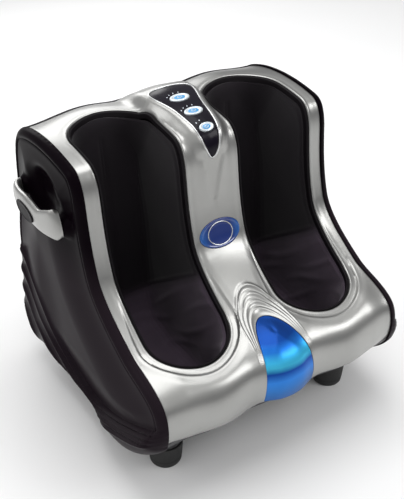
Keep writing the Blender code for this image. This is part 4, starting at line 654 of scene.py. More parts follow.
def fabric():
    """Near-black knitted cloth, with a fine rib and soft sheen, and painted light that makes the foot part
    below the ankle seam much lighter.
    """
    cloth = Finish("liner_fabric", (0.005, 0.0035, 0.005), 0.85, sheen_weight=0.12, sheen_roughness=0.5)
    cloth.set("Specular IOR Level", 0.25)
    rib = {"Vector": cloth.place, "Scale": 420.0, "Distortion": 1.2}
    wave = cloth.node("ShaderNodeTexWave", "Fac", rib, [("bands_direction", "DIAGONAL")])
    cloud = cloth.noise(30.0, 4.0)
    up_the_leg = cloth.node("ShaderNodeVectorMath", "Value", [(0, cloth.place), (1, LEG_DIRECTION)],
                            [("operation", "DOT_PRODUCT")])
    # Below the ankle seam the colour is pushed towards the light stop: painted light on the boots' floors.
    calf_without_painted_light = cloth.ranged(up_the_leg, *PAINTED_LIGHT_ANKLE_RANGE)
    shade = (cloud * 0.7 + wave * 0.3) * 0.35 + (1 - calf_without_painted_light) * 0.62
    cloth.set("Base Color", cloth.shades(shade, *FABRIC_AND_PAINTED_LIGHT_STOPS))
    cloth.set("Roughness", cloth.between(cloud, 0.78, 0.92))
    return cloth.bumpy(wave * 0.6 + cloud * 0.4, 0.30, 0.6 * MM).made


def blue_lens():
    """Blue metallic under a thin clear coat, with colour by height that paints a highlight band across the
    fullest part, and darker painted shading beside it and towards the top.
    """
    lens = Finish("blue_lens", (0.004, 0.12, 0.60), 0.20, 0.85, coat_weight=0.08, coat_roughness=0.04)
    # The colour by height is painted light: a highlight band with painted darker shading around it.
    lens.graded(lens.along("Z"), LENS_PAINTED_LIGHT_HEIGHTS, 25.0, 0.06, *LENS_PAINTED_LIGHT_STOPS)
    return lens.set("Roughness", lens.between(lens.noise(30.0), 0.35, 0.40)).made


def badge_enamel():
    """Deep blue enamel with painted highlights that make it lighter towards the two ends of the oval."""
    enamel = Finish("badge_blue", (0.004, 0.028, 0.20), 0.15, 0.1, coat_weight=1.0, coat_roughness=0.04)
    # The lighter ends are painted highlights.
    enamel.graded(enamel.along("X").by("ABSOLUTE"), BADGE_PAINTED_HIGHLIGHT_ENDS, 70.0, 0.10, *BADGE_PAINTED_HIGHLIGHT_STOPS)
    return enamel.set("Roughness", enamel.between(enamel.noise(70.0), 0.12, 0.20)).made


def plain(name, colour, rough, metallic, scale, shade, stretch=None, grain=0.0, **inputs):
    """One colour, a little uneven, with a fine grain where one is given."""
    finish = Finish(name, colour, rough[0], metallic, **inputs)
    finish.uneven(scale, rough, shade, stretch)
    if grain:
        finish.bumpy(finish.noise(scale * 20, 2.0, stretch), grain, 0.4 * MM)
    return finish.made


FLOOR_REFLECTION_HEIGHTS = (0.26, 0.34)         # where the black plastic goes from its painted floor reflection lower down to its own colour
LEG_DIRECTION = (0, 0.61, 0.79)         # square to the seam at the boots' ankles
# where the painted light on the boots' foot part fades out at the ankle seam
PAINTED_LIGHT_ANKLE_RANGE = (0.158, 0.180)
# The last, much lighter stop is painted light on the foot part of the boots.
FABRIC_AND_PAINTED_LIGHT_STOPS = ((0.10, (0.0050, 0.0028, 0.0052)), (0.30, (0.0085, 0.0052, 0.0085)),
                (0.95, (0.085, 0.062, 0.088)))
# Heights and stops of the lens's painted highlight band and painted darker shading.
LENS_PAINTED_LIGHT_HEIGHTS = (0.125, 0.215)
LENS_PAINTED_LIGHT_STOPS = (
    (0.0, (0.022, 0.12, 0.40)), (0.20, (0.026, 0.16, 0.48)), (0.42, (0.028, 0.21, 0.66)),
    (0.57, (0.004, 0.065, 0.38)), (0.66, (0.08, 0.66, 1.0)), (0.73, (0.06, 0.60, 1.0)),
    (0.84, (0.012, 0.16, 0.58)), (0.91, (0.001, 0.052, 0.29)), (1.0, (0.001, 0.045, 0.25)),
)
# Where the badge's painted highlights at the two ends begin and end, and their colours.
BADGE_PAINTED_HIGHLIGHT_ENDS = (0.018, 0.035)
BADGE_PAINTED_HIGHLIGHT_STOPS = ((0.0, (0.004, 0.026, 0.18)), (1.0, (0.010, 0.12, 0.44)))

SILVER = silver_paint()
# The low colour is a painted reflection of the floor on the lower parts of the side panels and the rear
# cover.
BLACK = black_gloss("black_gloss", (0.0034, 0.0016, 0.0032), (0.28, 0.34), 0.022,
                    low=(0.0155, 0.0108, 0.0145))
NAVY = black_gloss("panel_gloss", (0.0055, 0.0040, 0.0095), (0.17, 0.23), 0.15)
RING = black_gloss("ring_gloss", (0.006, 0.0045, 0.006), (0.45, 0.55), 0.15)
FABRIC = fabric()
LENS = blue_lens()
BRIGHT = plain("bright_silver", (0.78, 0.79, 0.79), (0.14, 0.22), 0.85, 60.0, 0.04, coat_weight=0.4)
BUTTON = plain("button_silver", (0.74, 0.80, 0.84), (0.22, 0.30), 0.35, 90.0, 0.03, coat_weight=0.6)
SKY = plain("button_blue", (0.060, 0.31, 0.62), (0.16, 0.22), 0.0, 90.0, 0.06, coat_weight=0.7)
LAMP = plain("lamp_window", (0.70, 0.75, 0.80), (0.2, 0.3), 0.0, 200.0, 0.05)
BADGE = badge_enamel()
RUBBER = plain("rubber", (0.016, 0.016, 0.016), (0.62, 0.78), 0.0, 90.0, 0.15, grain=0.25)
STEEL = plain("zinc_steel", (0.50, 0.51, 0.52), (0.30, 0.44), 1.0, 25.0, 0.10, (1, 6, 1), grain=0.04)
SHAFTS = plain("turned_steel", (0.56, 0.57, 0.58), (0.18, 0.28), 1.0, 60.0, 0.05, (8, 1, 1), grain=0.03)
BRONZE = plain("bronze", (0.48, 0.28, 0.10), (0.26, 0.40), 1.0, 70.0, 0.10, grain=0.05)
NYLON = plain("nylon", (0.62, 0.60, 0.54), (0.42, 0.55), 0.0, 50.0, 0.06, grain=0.08)
PLASTIC = plain("dark_plastic", (0.030, 0.030, 0.032), (0.40, 0.52), 0.0, 50.0, 0.12, grain=0.15)
CAST = plain("cast_zinc", (0.30, 0.31, 0.32), (0.42, 0.56), 0.85, 90.0, 0.12, grain=0.25)
BOARD = plain("circuit_board", (0.012, 0.12, 0.045), (0.30, 0.42), 0.0, 300.0, 0.25, grain=0.10)
COPPER = plain("transformer", (0.10, 0.085, 0.07), (0.40, 0.55), 0.5, 120.0, 0.25, (1, 1, 9), grain=0.15)


# Front cover: silver wall with two wells, console, ridges round the lens, and seats

NOSE = COVER.length - 96 * MM       # a point in the lens that the ridges are drawn round
OUTER_RIDGE = ((0, 415), (12, 415), (21, 427), (28, 442), (36, 455), (40, 475), (42, 497), (43, 512),
               (45, 530), (48, 560))
OUTER_RIDGE_END = 601 * MM          # where the cover's toe edge is in that drawing
RIDGES = (0.90, 0.66, 0.43, 0.20)   # shares of the way from the lens to the outermost line
RIDGE_SWELL, RIDGE_STEP, RIDGE_CREST, FIRST_CREST = 3.6 * MM, 1.5 * MM, 1.7 * MM, 2.3 * MM
RIDGE_ROOM = 66 * MM                # the width between lens and outermost line that gives full height
RIDGE_FOOT, RIDGE_RUN = 45 * MM, 40 * MM
WELL_CLEARANCE = 14 * MM
LENS_FOOT = 2.4 * MM                # from the toe's edge up to the lens's lower edge

COVER_WALL = 2.6 * MM
SEAT_GAP, PANEL_SEAT_GAP = 0.4 * MM, 0.5 * MM
BEAD, BEAD_PLACE, BEAD_WIDTH = 0.8 * MM, 3.0 * MM, 1.8 * MM
MOUTH_ROUND, SEAM_ROUND, PANEL_SEAT_ROUND = 2.4 * MM, 1.4 * MM, 1.0 * MM

# Rows of points round the edges, in millimetres from them, and the closer points at the nose
EDGE_ROWS = (0.5, 1.2, 2)
WELL_ROWS = (0.5, 1.1, 1.8, 2.6, 3.5, 5, 7, 9, 11, 13, 15, 17, 19, 21)
PANEL_ROWS = (0.5, 1.2, 2.2, 4, 6, 8, 10.5, 13, 16, 19)
RIDGE_ROWS, RIDGE_TURNS = np.arange(0.04, 1.1, 0.045), np.linspace(-0.7, 1.15, 64)
NOSE_COLUMNS, NOSE_LINES, NOSE_SPACING, NOSE_LENGTH = 41, 150, 1.25, 212 * MM


def by_turn(points):
    """Angle and distance of points from the nose's point, in order of angle."""
    right, down = points[:, 0], points[:, 1] - NOSE
    turn = np.arctan2(-down, right)
    order = np.argsort(turn)
    return turn[order], np.hypot(right, down)[order]


def lens_curve(share):
    """The right half of the lens's edge, from its tip to the toe."""
    return np.stack([LENS_HALF * np.sqrt(1 - (1 - share)**2), COVER.length - LENS_LENGTH * (1 - share)], -1)


LENS_RAYS = by_turn(lens_curve(np.linspace(0, 0.97, 120)**1.5))
OUTER_RAYS = by_turn(curve(OUTER_RIDGE) * MM + (0, COVER.length - OUTER_RIDGE_END))


def ridge_share(x, s):
    """0 on the lens's edge and 1 on the outermost ridge, and the distance between the two."""
    turn = np.arctan2(NOSE - s, np.abs(x))
    low, high = np.interp(turn, *LENS_RAYS), np.interp(turn, *OUTER_RAYS)
    return (np.hypot(x, s - NOSE) - low) / (high - low), high - low


def on_ridge(share, turn):
    """A place on a ridge's line, by its angle."""
    low, high = np.interp(turn, *LENS_RAYS), np.interp(turn, *OUTER_RAYS)
    far = low + share * (high - low)
    return np.stack([far * np.cos(turn), NOSE - far * np.sin(turn)], -1)


def terraces(x, s):
    """The ridges that step down from the nose to the lens, with the swelling they are cut into."""
    share, gap = ridge_share(x, s)
    size = np.clip(gap / RIDGE_ROOM, 0, 1) * ease((COVER.length - RIDGE_FOOT - s) / RIDGE_RUN)
    size = size * (1 - ease((share - 1.9) / 0.9))
    tall = (1 - ease((share - 0.95) / 1.7)) * ease(well_distance(x, s) / WELL_CLEARANCE)
    out = RIDGE_SWELL * tall * size
    for spot in RIDGES:
        inner = spot - share
        out = out - RIDGE_STEP * ease(inner / 0.15) * size
        crest = FIRST_CREST if spot == RIDGES[0] else RIDGE_CREST
        out = out + crest * np.exp(-((inner + 0.04) / 0.06)**2) * size * tall
    return out


def on_nose(x, s, above=0.0):
    """Points over the front cover's face with its ridges."""
    return on_cover(x, s, terraces(x, s) + above)


def lens_loop(grow, spacing):
    """The lens's outline, grown by a distance, down to just above the toe's edge."""
    share = np.linspace(0, 1, round(LENS_LENGTH / spacing))**1.6
    half = (LENS_HALF + grow) * np.sqrt(1 - (1 - share)**2)
    top = COVER.length - LENS_LENGTH - grow
    right = np.stack([half, top + share * (LENS_LENGTH - LENS_FOOT + grow)], -1)
    foot = np.linspace(half[-1], -half[-1], round(2 * half[-1] / spacing) + 1)[1:-1]
    floor = np.stack([foot, np.full(len(foot), right[-1, 1])], -1)
    return np.vstack([right, floor, right[:0:-1] * (-1, 1)])


BADGE_CENTRE = (0.0, COVER.length - BADGE_PLACE)


def make_front_cover():
    """The cover's wall, closed at the wells' mouths and at the seats of panel, badge and lens."""
    panel_hole = moved(even(panel_loop(), 1.5 * MM), PANEL_SEAT_GAP)
    wells = [stadium(0, 2.4 * MM, side) for _, side in SIDES]
    badge_hole = oval(BADGE_CENTRE, BADGE_HALF[0] + SEAT_GAP, BADGE_HALF[1] + SEAT_GAP, 2 * MM)
    holes = wells + [panel_hole, lens_loop(SEAT_GAP, 2 * MM), badge_hole]
    rows = [between_seams(COVER.length, 3 * MM, d) for d in EDGE_ROWS]
    for _, side in SIDES:
        for d in WELL_ROWS:
            rows.append(stadium(d * MM, (2.2 if d < 8 else 2.8) * MM, side))
    for d in PANEL_ROWS:
        rows.append(even(moved(panel_hole, d * MM), 2.2 * MM))
    for share in RIDGE_ROWS:
        row = on_ridge(share, RIDGE_TURNS)
        rows.append(np.vstack([row, row * (-1, 1)]))
    across, along = np.meshgrid(np.arange(-NOSE_COLUMNS, NOSE_COLUMNS + 1), np.arange(NOSE_LINES))
    fine = np.stack([(across + 0.5 * (along % 2)).ravel(), along.ravel() * 0.87], -1) * NOSE_SPACING * MM
    rows.append(fine + (0, COVER.length - NOSE_LENGTH))
    flat = flat_mesh(between_seams(COVER.length, 3 * MM), holes, rows, 3.4 * MM)
    seams = [between_seams(COVER.length, 1.0)]

    def place(x, s):
        spots = np.stack([x, s], -1)
        edge = from_edge(spots, seams)
        gap = well_distance(x, s)
        bead = BEAD * np.exp(-((gap - BEAD_PLACE) / BEAD_WIDTH)**2)
        near = (np.abs(x) < PANEL_HALF + 10 * MM) & (s < PANEL_START + PANEL_LENGTH + 30 * MM)
        drop = np.zeros(len(x))
        drop[near] = rounded(from_edge(spots[near], [panel_hole]), PANEL_SEAT_ROUND)
        return on_nose(x, s, bead - rounded(gap, MOUTH_ROUND) - rounded(edge, SEAM_ROUND) - drop)

    return shell("front_cover_shell", flat, place, -COVER_WALL)


done(make_front_cover(), SILVER, replaces=["front_cover"], angle=50)


# Control panel with its bright trim, lamps and three push buttons

PANEL_WALL, PANEL_LIFT, PANEL_SWELL, PANEL_SLOPE = 2.4 * MM, 0.2 * MM, 0.8 * MM, 14 * MM
PANEL_ROUND, BUTTON_HOLE_ROUND = 1.2 * MM, 0.7 * MM
PANEL_EDGE_ROWS, BUTTON_HOLE_ROWS = (0.3, 0.8, 1.4, 2.2, 3.4), (0.9, 1.5, 2.3)
TRIM_OUT, TRIM_HALF_OUT, TRIM_HALF_UP, TRIM_LIFT = 1.4 * MM, 1.3 * MM, 1.1 * MM, 0.1 * MM
BUTTON_GAP = 0.5 * MM
LAMP_AWAY_X, LAMP_AWAY_Y = 4.5 * MM, 5 * MM
LAMP_COUNTS = (("mode_button", 4), ("speed_button", 4), ("power_button", 2))

# Sections of the turned pieces: share of the oval's size, and millimetres above the cover's face
BUTTON_SECTION = np.array([
    (0.0, 1.5), (0.30, 1.5), (0.60, 1.5), (0.66, 1.6), (0.70, 2.0), (0.76, 2.35), (0.84, 2.4),
    (0.91, 2.2), (0.96, 1.8), (0.985, 1.3), (1.0, 0.6), (1.0, -2.0), (1.0, -4.6), (1.10, -4.7),
    (1.12, -5.2), (1.10, -5.9), (0.30, -6.0)])
FLANGE_DEPTH, STEM_LENGTH, STEM_RADIUS = 6.0 * MM, 7.0 * MM, 2.6 * MM
CAP_SECTION = np.array([
    (0.0, 2.35), (0.16, 2.3), (0.20, 1.9), (0.24, 1.85), (0.40, 1.95), (0.52, 1.85), (0.55, 1.7),
    (0.57, 1.5), (0.55, 1.2), (0.0, 1.2)])
MARK_SHARE, MARK_LIFT = 0.24, 2.05 * MM
LAMP_SECTION = ((0, 0.4, 0.75, 1), (0, 0.75, 1.0, 1.0), (1.35, 1.25, 1.0, 0.2))


def button_place(name):
    """A button's place along the cover, and its half sizes."""
    share, half_x, half_y = BUTTONS[name]
    return PANEL_START + share * PANEL_LENGTH, half_x, half_y


def make_panel():
    loop = even(panel_loop(), 1.6 * MM)
    holes = [oval((0, s), half_x + BUTTON_GAP, half_y + BUTTON_GAP, 1.6 * MM)
             for s, half_x, half_y in map(button_place, BUTTONS)]
    rows = [even(moved(loop, -d * MM), 1.8 * MM) for d in PANEL_EDGE_ROWS]
    rows += [oval((0, s), half_x + d * MM, half_y + d * MM, 1.8 * MM)
             for s, half_x, half_y in map(button_place, BUTTONS) for d in BUTTON_HOLE_ROWS]
    flat = flat_mesh(loop, holes, rows, 2.6 * MM)

    def place(x, s):
        spots = np.stack([x, s], -1)
        edge = from_edge(spots, [loop])
        hole = from_edge(spots, holes)
        lift = PANEL_LIFT + PANEL_SWELL * ease(edge / PANEL_SLOPE)
        return on_cover(x, s, lift - rounded(edge, PANEL_ROUND) - rounded(hole, BUTTON_HOLE_ROUND))

    return shell("panel_shell", flat, place, -PANEL_WALL)


def cover_frames(loop):
    """For a loop in the flat drawing: its path on the cover, with its outward and upward directions."""
    path = on_cover(loop[:, 0], loop[:, 1])
    up = on_cover(loop[:, 0], loop[:, 1], 1 * MM) - path
    up /= np.linalg.norm(up, axis=1)[:, None]
    run = np.roll(path, -1, 0) - np.roll(path, 1, 0)
    out = np.cross(run, up)
    out /= np.linalg.norm(out, axis=1)[:, None]
    middle = path.mean(0)
    if ((path - middle) * out).sum() < 0:
        out = -out
    return path, (out, up)


def round_profile(half_out, half_up, steps=12, lift=0.0):
    turn = np.linspace(0, 2 * pi, steps, False)
    return np.stack([np.cos(turn), np.sin(turn)], -1) * (half_out, half_up) + (0, lift)


def make_panel_trim():
    path, frames = cover_frames(moved(even(panel_loop(), 1.8 * MM), TRIM_OUT))
    return swept("panel_trim", path, frames, round_profile(TRIM_HALF_OUT, TRIM_HALF_UP, lift=TRIM_LIFT))


def button_points(name, turn, share, above):
    """Points of a button's oval over the cover's face."""
    middle, half_x, half_y = button_place(name)
    return on_cover(half_x * share * np.cos(turn), middle + half_y * share * np.sin(turn), above)


def press_axis():
    """The direction square to the panel between its first button and its last."""
    places = np.array([button_place(name)[0] for name in ("mode_button", "power_button")])
    first, last = on_cover(np.zeros(2), places)
    run = first - last
    return np.array([0.0, -run[2], run[1]]) / np.hypot(run[1], run[2])


PRESS_AXIS = press_axis()


def make_button(name):
    """A push button: dished silver oval with a rounded rim, skirt, flange and stem."""
    rows = len(BUTTON_SECTION)
    middle = np.full(1, button_place(name)[0])
    side = np.array([1.0, 0, 0])
    other = np.cross(PRESS_AXIS, side)

    def place(u, v):
        turn = 2 * pi * u
        spot = v * (rows + 1)
        share, above = read_rows(BUTTON_SECTION, spot)
        points = button_points(name, turn, share, above * MM)
        centre = on_cover(np.zeros(1), middle, -FLANGE_DEPTH)
        radius = np.where(spot > rows + 0.5, 0.0, STEM_RADIUS)
        stem = centre + np.outer(radius * np.cos(turn), side) - np.outer(radius * np.sin(turn), other)
        stem = stem - PRESS_AXIS * STEM_LENGTH
        return np.where((spot > rows - 0.5)[:, None], stem, points)

    return laid(f"{name}_shell", 56, rows + 1, place)


def make_cap(name):
    """The blue window in a button's dished top."""
    def place(turn, share, above):
        return button_points(name, turn, share, above * MM)

    return turned(f"{name}_cap", 48, CAP_SECTION, place)


def make_mark(name):
    """The raised ring in the middle of a button's blue window."""
    middle, half_x, half_y = button_place(name)
    path, (out, up) = cover_frames(oval((0, middle), MARK_SHARE * half_x, MARK_SHARE * half_y, 0.4 * MM))
    return swept(f"{name}_mark", path + MARK_LIFT * up, (out, up), round_profile(0.42 * MM, 0.35 * MM, 8))


def make_lamps():
    """The small indicator windows along the rear of each button."""
    spots = []
    for name, count in LAMP_COUNTS:
        middle, half_x, half_y = button_place(name)
        for k in range(count):
            turn = radians(200 + 100 * (k + 0.5) / count) if count > 2 else radians(225 + 30 * k)
            spots.append(((half_x + LAMP_AWAY_X) * np.cos(turn) * 0.95,
                          middle + (half_y + LAMP_AWAY_Y) * np.sin(turn)))
    marks, sizes, heights = LAMP_SECTION
    beads = []
    for x0, s0 in spots:
        def place(u, v, x0=x0, s0=s0):
            size = np.interp(v, marks, sizes) * MM
            above = np.interp(v, marks, heights) * MM
            return on_cover(x0 + size * np.cos(2 * pi * u), s0 + size * np.sin(2 * pi * u), above)

        bead = laid("lamp", 16, 8, place)
        beads.append(in_edit_mode(bead, lambda: bpy.ops.mesh.fill_holes(sides=0)))
    lamps = joined(*beads)
    lamps.name = lamps.data.name = "panel_lamps"
    return merge_and_face_out(lamps)


done(make_panel(), NAVY, replaces=["control_panel"])
done(make_panel_trim(), BRIGHT, angle=60)
done(make_lamps(), LAMP)
for name in BUTTONS:
    done(make_button(name), BUTTON, body=name, replaces=[name])
    done(make_cap(name), SKY, body=name)
    done(make_mark(name), BUTTON, body=name)


# Badge and toe lens

BADGE_SECTION = np.array([
    (0.0, 1.9), (0.25, 1.9), (0.50, 1.8), (0.60, 1.7), (0.63, 1.7), (0.67, 1.7), (0.75, 1.6),
    (0.84, 1.5), (0.88, 1.6), (0.92, 1.75), (0.96, 1.6), (0.99, 1.1), (1.0, 0.4), (1.0, -1.0),
    (0.0, -1.0)])
BADGE_RING, BADGE_RING_HALF_OUT, BADGE_RING_HALF_UP = (0.60, 0.80), 0.7 * MM, 0.5 * MM
BADGE_RING_LIFT = 1.85 * MM
LENS_WALL, LENS_LIFT, LENS_SWELL, LENS_SLOPE = 2.2 * MM, 0.6 * MM, 3.2 * MM, 26 * MM
LENS_ROUND, LENS_RUN_ON = 1.4 * MM, 60 * MM
LENS_ROWS = (0.4, 1.0, 1.8, 3.0, 4.5)


def make_badge():
    """An oval plate with a low rim."""
    half_x, half_y = BADGE_HALF

    def place(turn, share, above):
        x = half_x * share * np.cos(turn)
        return on_nose(x, BADGE_CENTRE[1] + half_y * share * np.sin(turn), above * MM)

    return turned("badge_plate", 96, BADGE_SECTION, place, finer=3)


def make_badge_ring():
    loop = oval(BADGE_CENTRE, BADGE_RING[0] * BADGE_HALF[0], BADGE_RING[1] * BADGE_HALF[1], 1.2 * MM)
    path, frames = cover_frames(loop)
    lift = terraces(loop[:, 0], loop[:, 1])[:, None] * frames[1]
    profile = round_profile(BADGE_RING_HALF_OUT, BADGE_RING_HALF_UP, lift=BADGE_RING_LIFT)
    return swept("badge_ring", path + lift, frames, profile)


def make_lens():
    """A swollen shell whose swelling runs on to the toe's edge."""
    loop = lens_loop(0.0, 2 * MM)
    rows = [even(moved(loop, -d * MM), 2 * MM) for d in LENS_ROWS]
    flat = flat_mesh(loop, [], rows, 3 * MM)
    at_toe = loop[:, 1:] > COVER.length - LENS_FOOT - 0.2 * MM
    sides = loop + np.where(at_toe, (0, LENS_RUN_ON), 0)

    def place(x, s):
        edge = from_edge(np.stack([x, s], -1), [sides])
        swell = LENS_SWELL * ease(edge / LENS_SLOPE) + LENS_LIFT
        return on_nose(x, s, swell - rounded(edge, LENS_ROUND))

    return shell("lens_shell", flat, place, -LENS_WALL)


done(make_badge(), BADGE, replaces=["badge"])
done(make_badge_ring(), BRIGHT, angle=60)
done(make_lens(), LENS, replaces=["toe_lens"], angle=50)


# Opening rings and liners, left and right

RING_OVERLAP = 0.4 * MM
RING_PROFILE = np.array([(3.6, -8.8), (0.2, -8.8), (0.0, -4.0), (0.0, -0.4), (0.3, 0.4), (0.9, 0.8),
                         (1.5, 0.5), (1.8, -0.1), (2.2, -0.6), (2.8, -0.7), (3.3, -1.1), (3.6, -2.0)]) * MM


def make_ring(side_name, side):
    """The black trim in a well's mouth."""
    path, (out, up) = cover_frames(stadium(-RING_OVERLAP, 2.4 * MM, side))
    return swept(f"opening_ring_{side_name}_trim", path, (-out, up), RING_PROFILE)


# A boot's wall on its way down: millimetres inside the well's outline, and share of the depth
LINER_DOWN = ((3.0, 0.0), (2.2, 0.03), (2.4, 0.10), (4.0, 0.28), (6.4, 0.60), (8.0, 0.82), (10.0, 0.90),
              (13.5, 0.955), (19.0, 0.985), (27.0, 1.0), (66.0, 1.0))
LINER_TOP = 9.4 * MM            # below the cover's face, under the ring
LINER_ROWS, TYPICAL_DEPTH = 110, 0.2
LINER_CLOTH = 1.6 * MM
PADDING, LEAST_PADDING = 2.3, 0.9           # millimetres
ANKLE_Y, ANKLE_Z, ANKLE_SLOPE, ANKLE_LENGTH = 0.0895, 0.147, 0.78, 1.27     # the last is hypot(1, slope)


def below_ankle(y, z):
    """Distance below the slanted seam between a boot's calf part and its foot part."""
    return (ANKLE_Z + ANKLE_SLOPE * (ANKLE_Y - y) - z) / ANKLE_LENGTH


def padding(x, y, z, depth):
    """How far a boot's soft face stands off its wall; the sum is in millimetres until the last line."""
    soft = 1.3 * np.sin(31 * z + 14 * y + 3 * np.sin(22 * x)) + 0.9 * np.sin(57 * z - 33 * y + 40 * x)
    low = below_ankle(y, z)
    bead = 1.3 * np.exp(-((low + 3 * MM) / (2.5 * MM))**2)
    groove = 1.5 * np.exp(-((low - 1.5 * MM) / (2 * MM))**2)
    foot = ease((low - 8 * MM) / (20 * MM))
    folds = 0
    for k in range(4):
        line = (26 + 27 * k) * MM + 7 * MM * np.sin(33 * y + 2 * k + 20 * x)
        fold = np.exp(-((low - line) / (5.5 * MM))**2)
        folds = folds + fold * (0.55 + 0.45 * np.sin(47 * y + 5 * k))
    toe = np.sin(95 * y + 40 * x + 4 * np.sin(45 * x + 20 * z)) * foot
    sole_seam = np.exp(-((np.abs(x) - 2 * MM) / (3 * MM))**2) * ease((depth - 0.9) / 0.08)
    rise = PADDING + soft * 0.55 + 0.7 * toe + 1.9 * folds * foot + bead - groove - 1.4 * sole_seam
    return np.maximum(rise, LEAST_PADDING) * MM * ease(depth / 0.06)


def make_liner(side_name, side):
    """A padded fabric boot: a soft wall from the ring down to the calf rest and the sole."""
    down = np.array(LINER_DOWN)
    lengths = np.hypot(np.diff(down[:, 0]) * MM, np.diff(down[:, 1]) * TYPICAL_DEPTH)
    marks = np.concatenate([[0], np.cumsum(lengths)])
    marks /= marks[-1]
    edge = stadium(0, 2.0 * MM, 1)
    centre_s = np.clip(edge[:, 1], WELL_FIRST, WELL_LAST)
    inward = np.stack([np.full(len(edge), WELL_CENTRE), centre_s], -1) - edge
    inward /= np.linalg.norm(inward, axis=1)[:, None]
    count = len(edge)

    def wall(u, v):
        i = np.rint(u * count).astype(int) % count
        inset = np.interp(v, marks, down[:, 0]) * MM
        depth = np.interp(v, marks, down[:, 1])
        spot = edge[i] + inward[i] * inset[:, None]
        share = (spot[:, 1] - WELL_START) / (WELL_END - WELL_START)
        deep = FLOOR.at(share * FLOOR.length)
        deep = np.stack([spot[:, 0], deep[:, 0], deep[:, 1]], -1)
        top = on_cover(spot[:, 0], spot[:, 1], -LINER_TOP)
        return top + (deep - top) * depth[:, None], depth

    def place(u, v):
        points, depth = wall(u, v)
        along = wall(u, np.minimum(v + 0.01, 1))[0] - wall(u, np.maximum(v - 0.01, 0))[0]
        across = wall((u + 0.004) % 1, v)[0] - wall((u - 0.004) % 1, v)[0]
        normal = np.cross(across, along)
        size = np.linalg.norm(normal, axis=1)[:, None]
        normal = np.where(size > 1e-12, normal / np.maximum(size, 1e-12), (0, -0.5, 0.8))
        to_middle = WELL_CENTRE - points[:, 0]
        normal *= np.sign(normal[:, 0] * to_middle + normal[:, 2] * 20 * MM)[:, None]
        rise = padding(-to_middle, points[:, 1], points[:, 2], depth)
        return (points + normal * rise[:, None]) * (side, 1, 1)

    piece = laid(f"liner_{side_name}_cloth", count, LINER_ROWS, place)
    return face_out(apply(piece, "SOLIDIFY", thickness=LINER_CLOTH, offset=-1))


for side_name, side in SIDES:
    done(make_ring(side_name, side), RING, replaces=[f"opening_ring_{side_name}"], angle=50)
    liner = done(make_liner(side_name, side), FABRIC, replaces=[f"liner_{side_name}"],
                 angle=70)


# Side panels: outline and relief in the side view

BODY = np.vstack([COVER.points[:-1], UNDER.points[:-1], REAR.points[:-1]])
SWOOSH_OUTLINE = (
    (0.530, 0.500), (0.468, 0.480), (0.377, 0.462), (0.318, 0.410), (0.262, 0.361), (0.237, 0.308),
    (0.178, 0.233), (0.103, 0.154), (0.000, 0.115), (-0.091, 0.154), (-0.217, 0.207), (-0.342, 0.278),
    (-0.491, 0.363),
)
SWOOSH = Line(curve(in_metres(SWOOSH_OUTLINE), 24))
HANDLE_Y, HANDLE_Z = 0.212 * DEPTH, 0.786 * BODY_HEIGHT
HANDLE_SPAN, HANDLE_OUT = 128 * MM, 15.5 * MM
HANDLE_FOOT = PANEL_FACE + PANEL_RIM + PANEL_BULGE
BOSS_RADIUS, BOSS_SLOPE, BOSS_GAP = 11 * MM, 9 * MM, 0.3 * MM

PANEL_THICK = 2.6 * MM
SKIRT_STEPS, SKIRT_SLOPE = (0.34, 0.26, 0.22, 0.18), 3.2 * MM
SKIRT_SPACING, SKIRT_WIDENING = 6, 26       # millimetres between steps at the toe, and what the rear adds
LIP, LIP_PLACE = 1.9 * MM, 3.8 * MM
BULGE_RUN = 90 * MM
HIP, HIP_START, HIP_RUN = 7 * MM, 95 * MM, 90 * MM
RIM_BEAD, RIM_BEAD_PLACE, RIM_BEAD_WIDTH = 0.9 * MM, 9.5 * MM, 3.0 * MM
RIM_GROOVE, RIM_GROOVE_PLACE, RIM_GROOVE_WIDTH = 1.4 * MM, 14.5 * MM, 1.3 * MM
HOLLOW_Y, HOLLOW_Z = 0.213 * DEPTH, 0.835 * BODY_HEIGHT
HOLLOW_DEPTH, HOLLOW_HALF_Y, HOLLOW_HALF_Z = 15 * MM, 64 * MM, 42 * MM
RIM_ROWS = (0.15, 0.5, 1.1, 2.0, 3.2, 4.8, 6.6, 8.6, 10.4, 12, 13.2, 14.4, 15.8, 17.6, 20, 23, 26, 29)


def under_swoosh(y, z):
    """Distance below the swoosh line that runs over a side panel; negative above it."""
    spots = np.stack([y, z], -1)
    best, sign = np.full(len(y), np.inf), np.zeros(len(y))
    for a, b in zip(SWOOSH.points[:-1], SWOOSH.points[1:]):
        run = b - a
        share = np.clip(((spots - a) @ run) / (run @ run), 0, 1)
        gap = spots - a - share[:, None] * run
        away = np.linalg.norm(gap, axis=1)
        nearer = away < best
        best = np.where(nearer, away, best)
        sign = np.where(nearer, np.sign(gap[:, 0] * run[1] - gap[:, 1] * run[0]), sign)
    return -best * sign


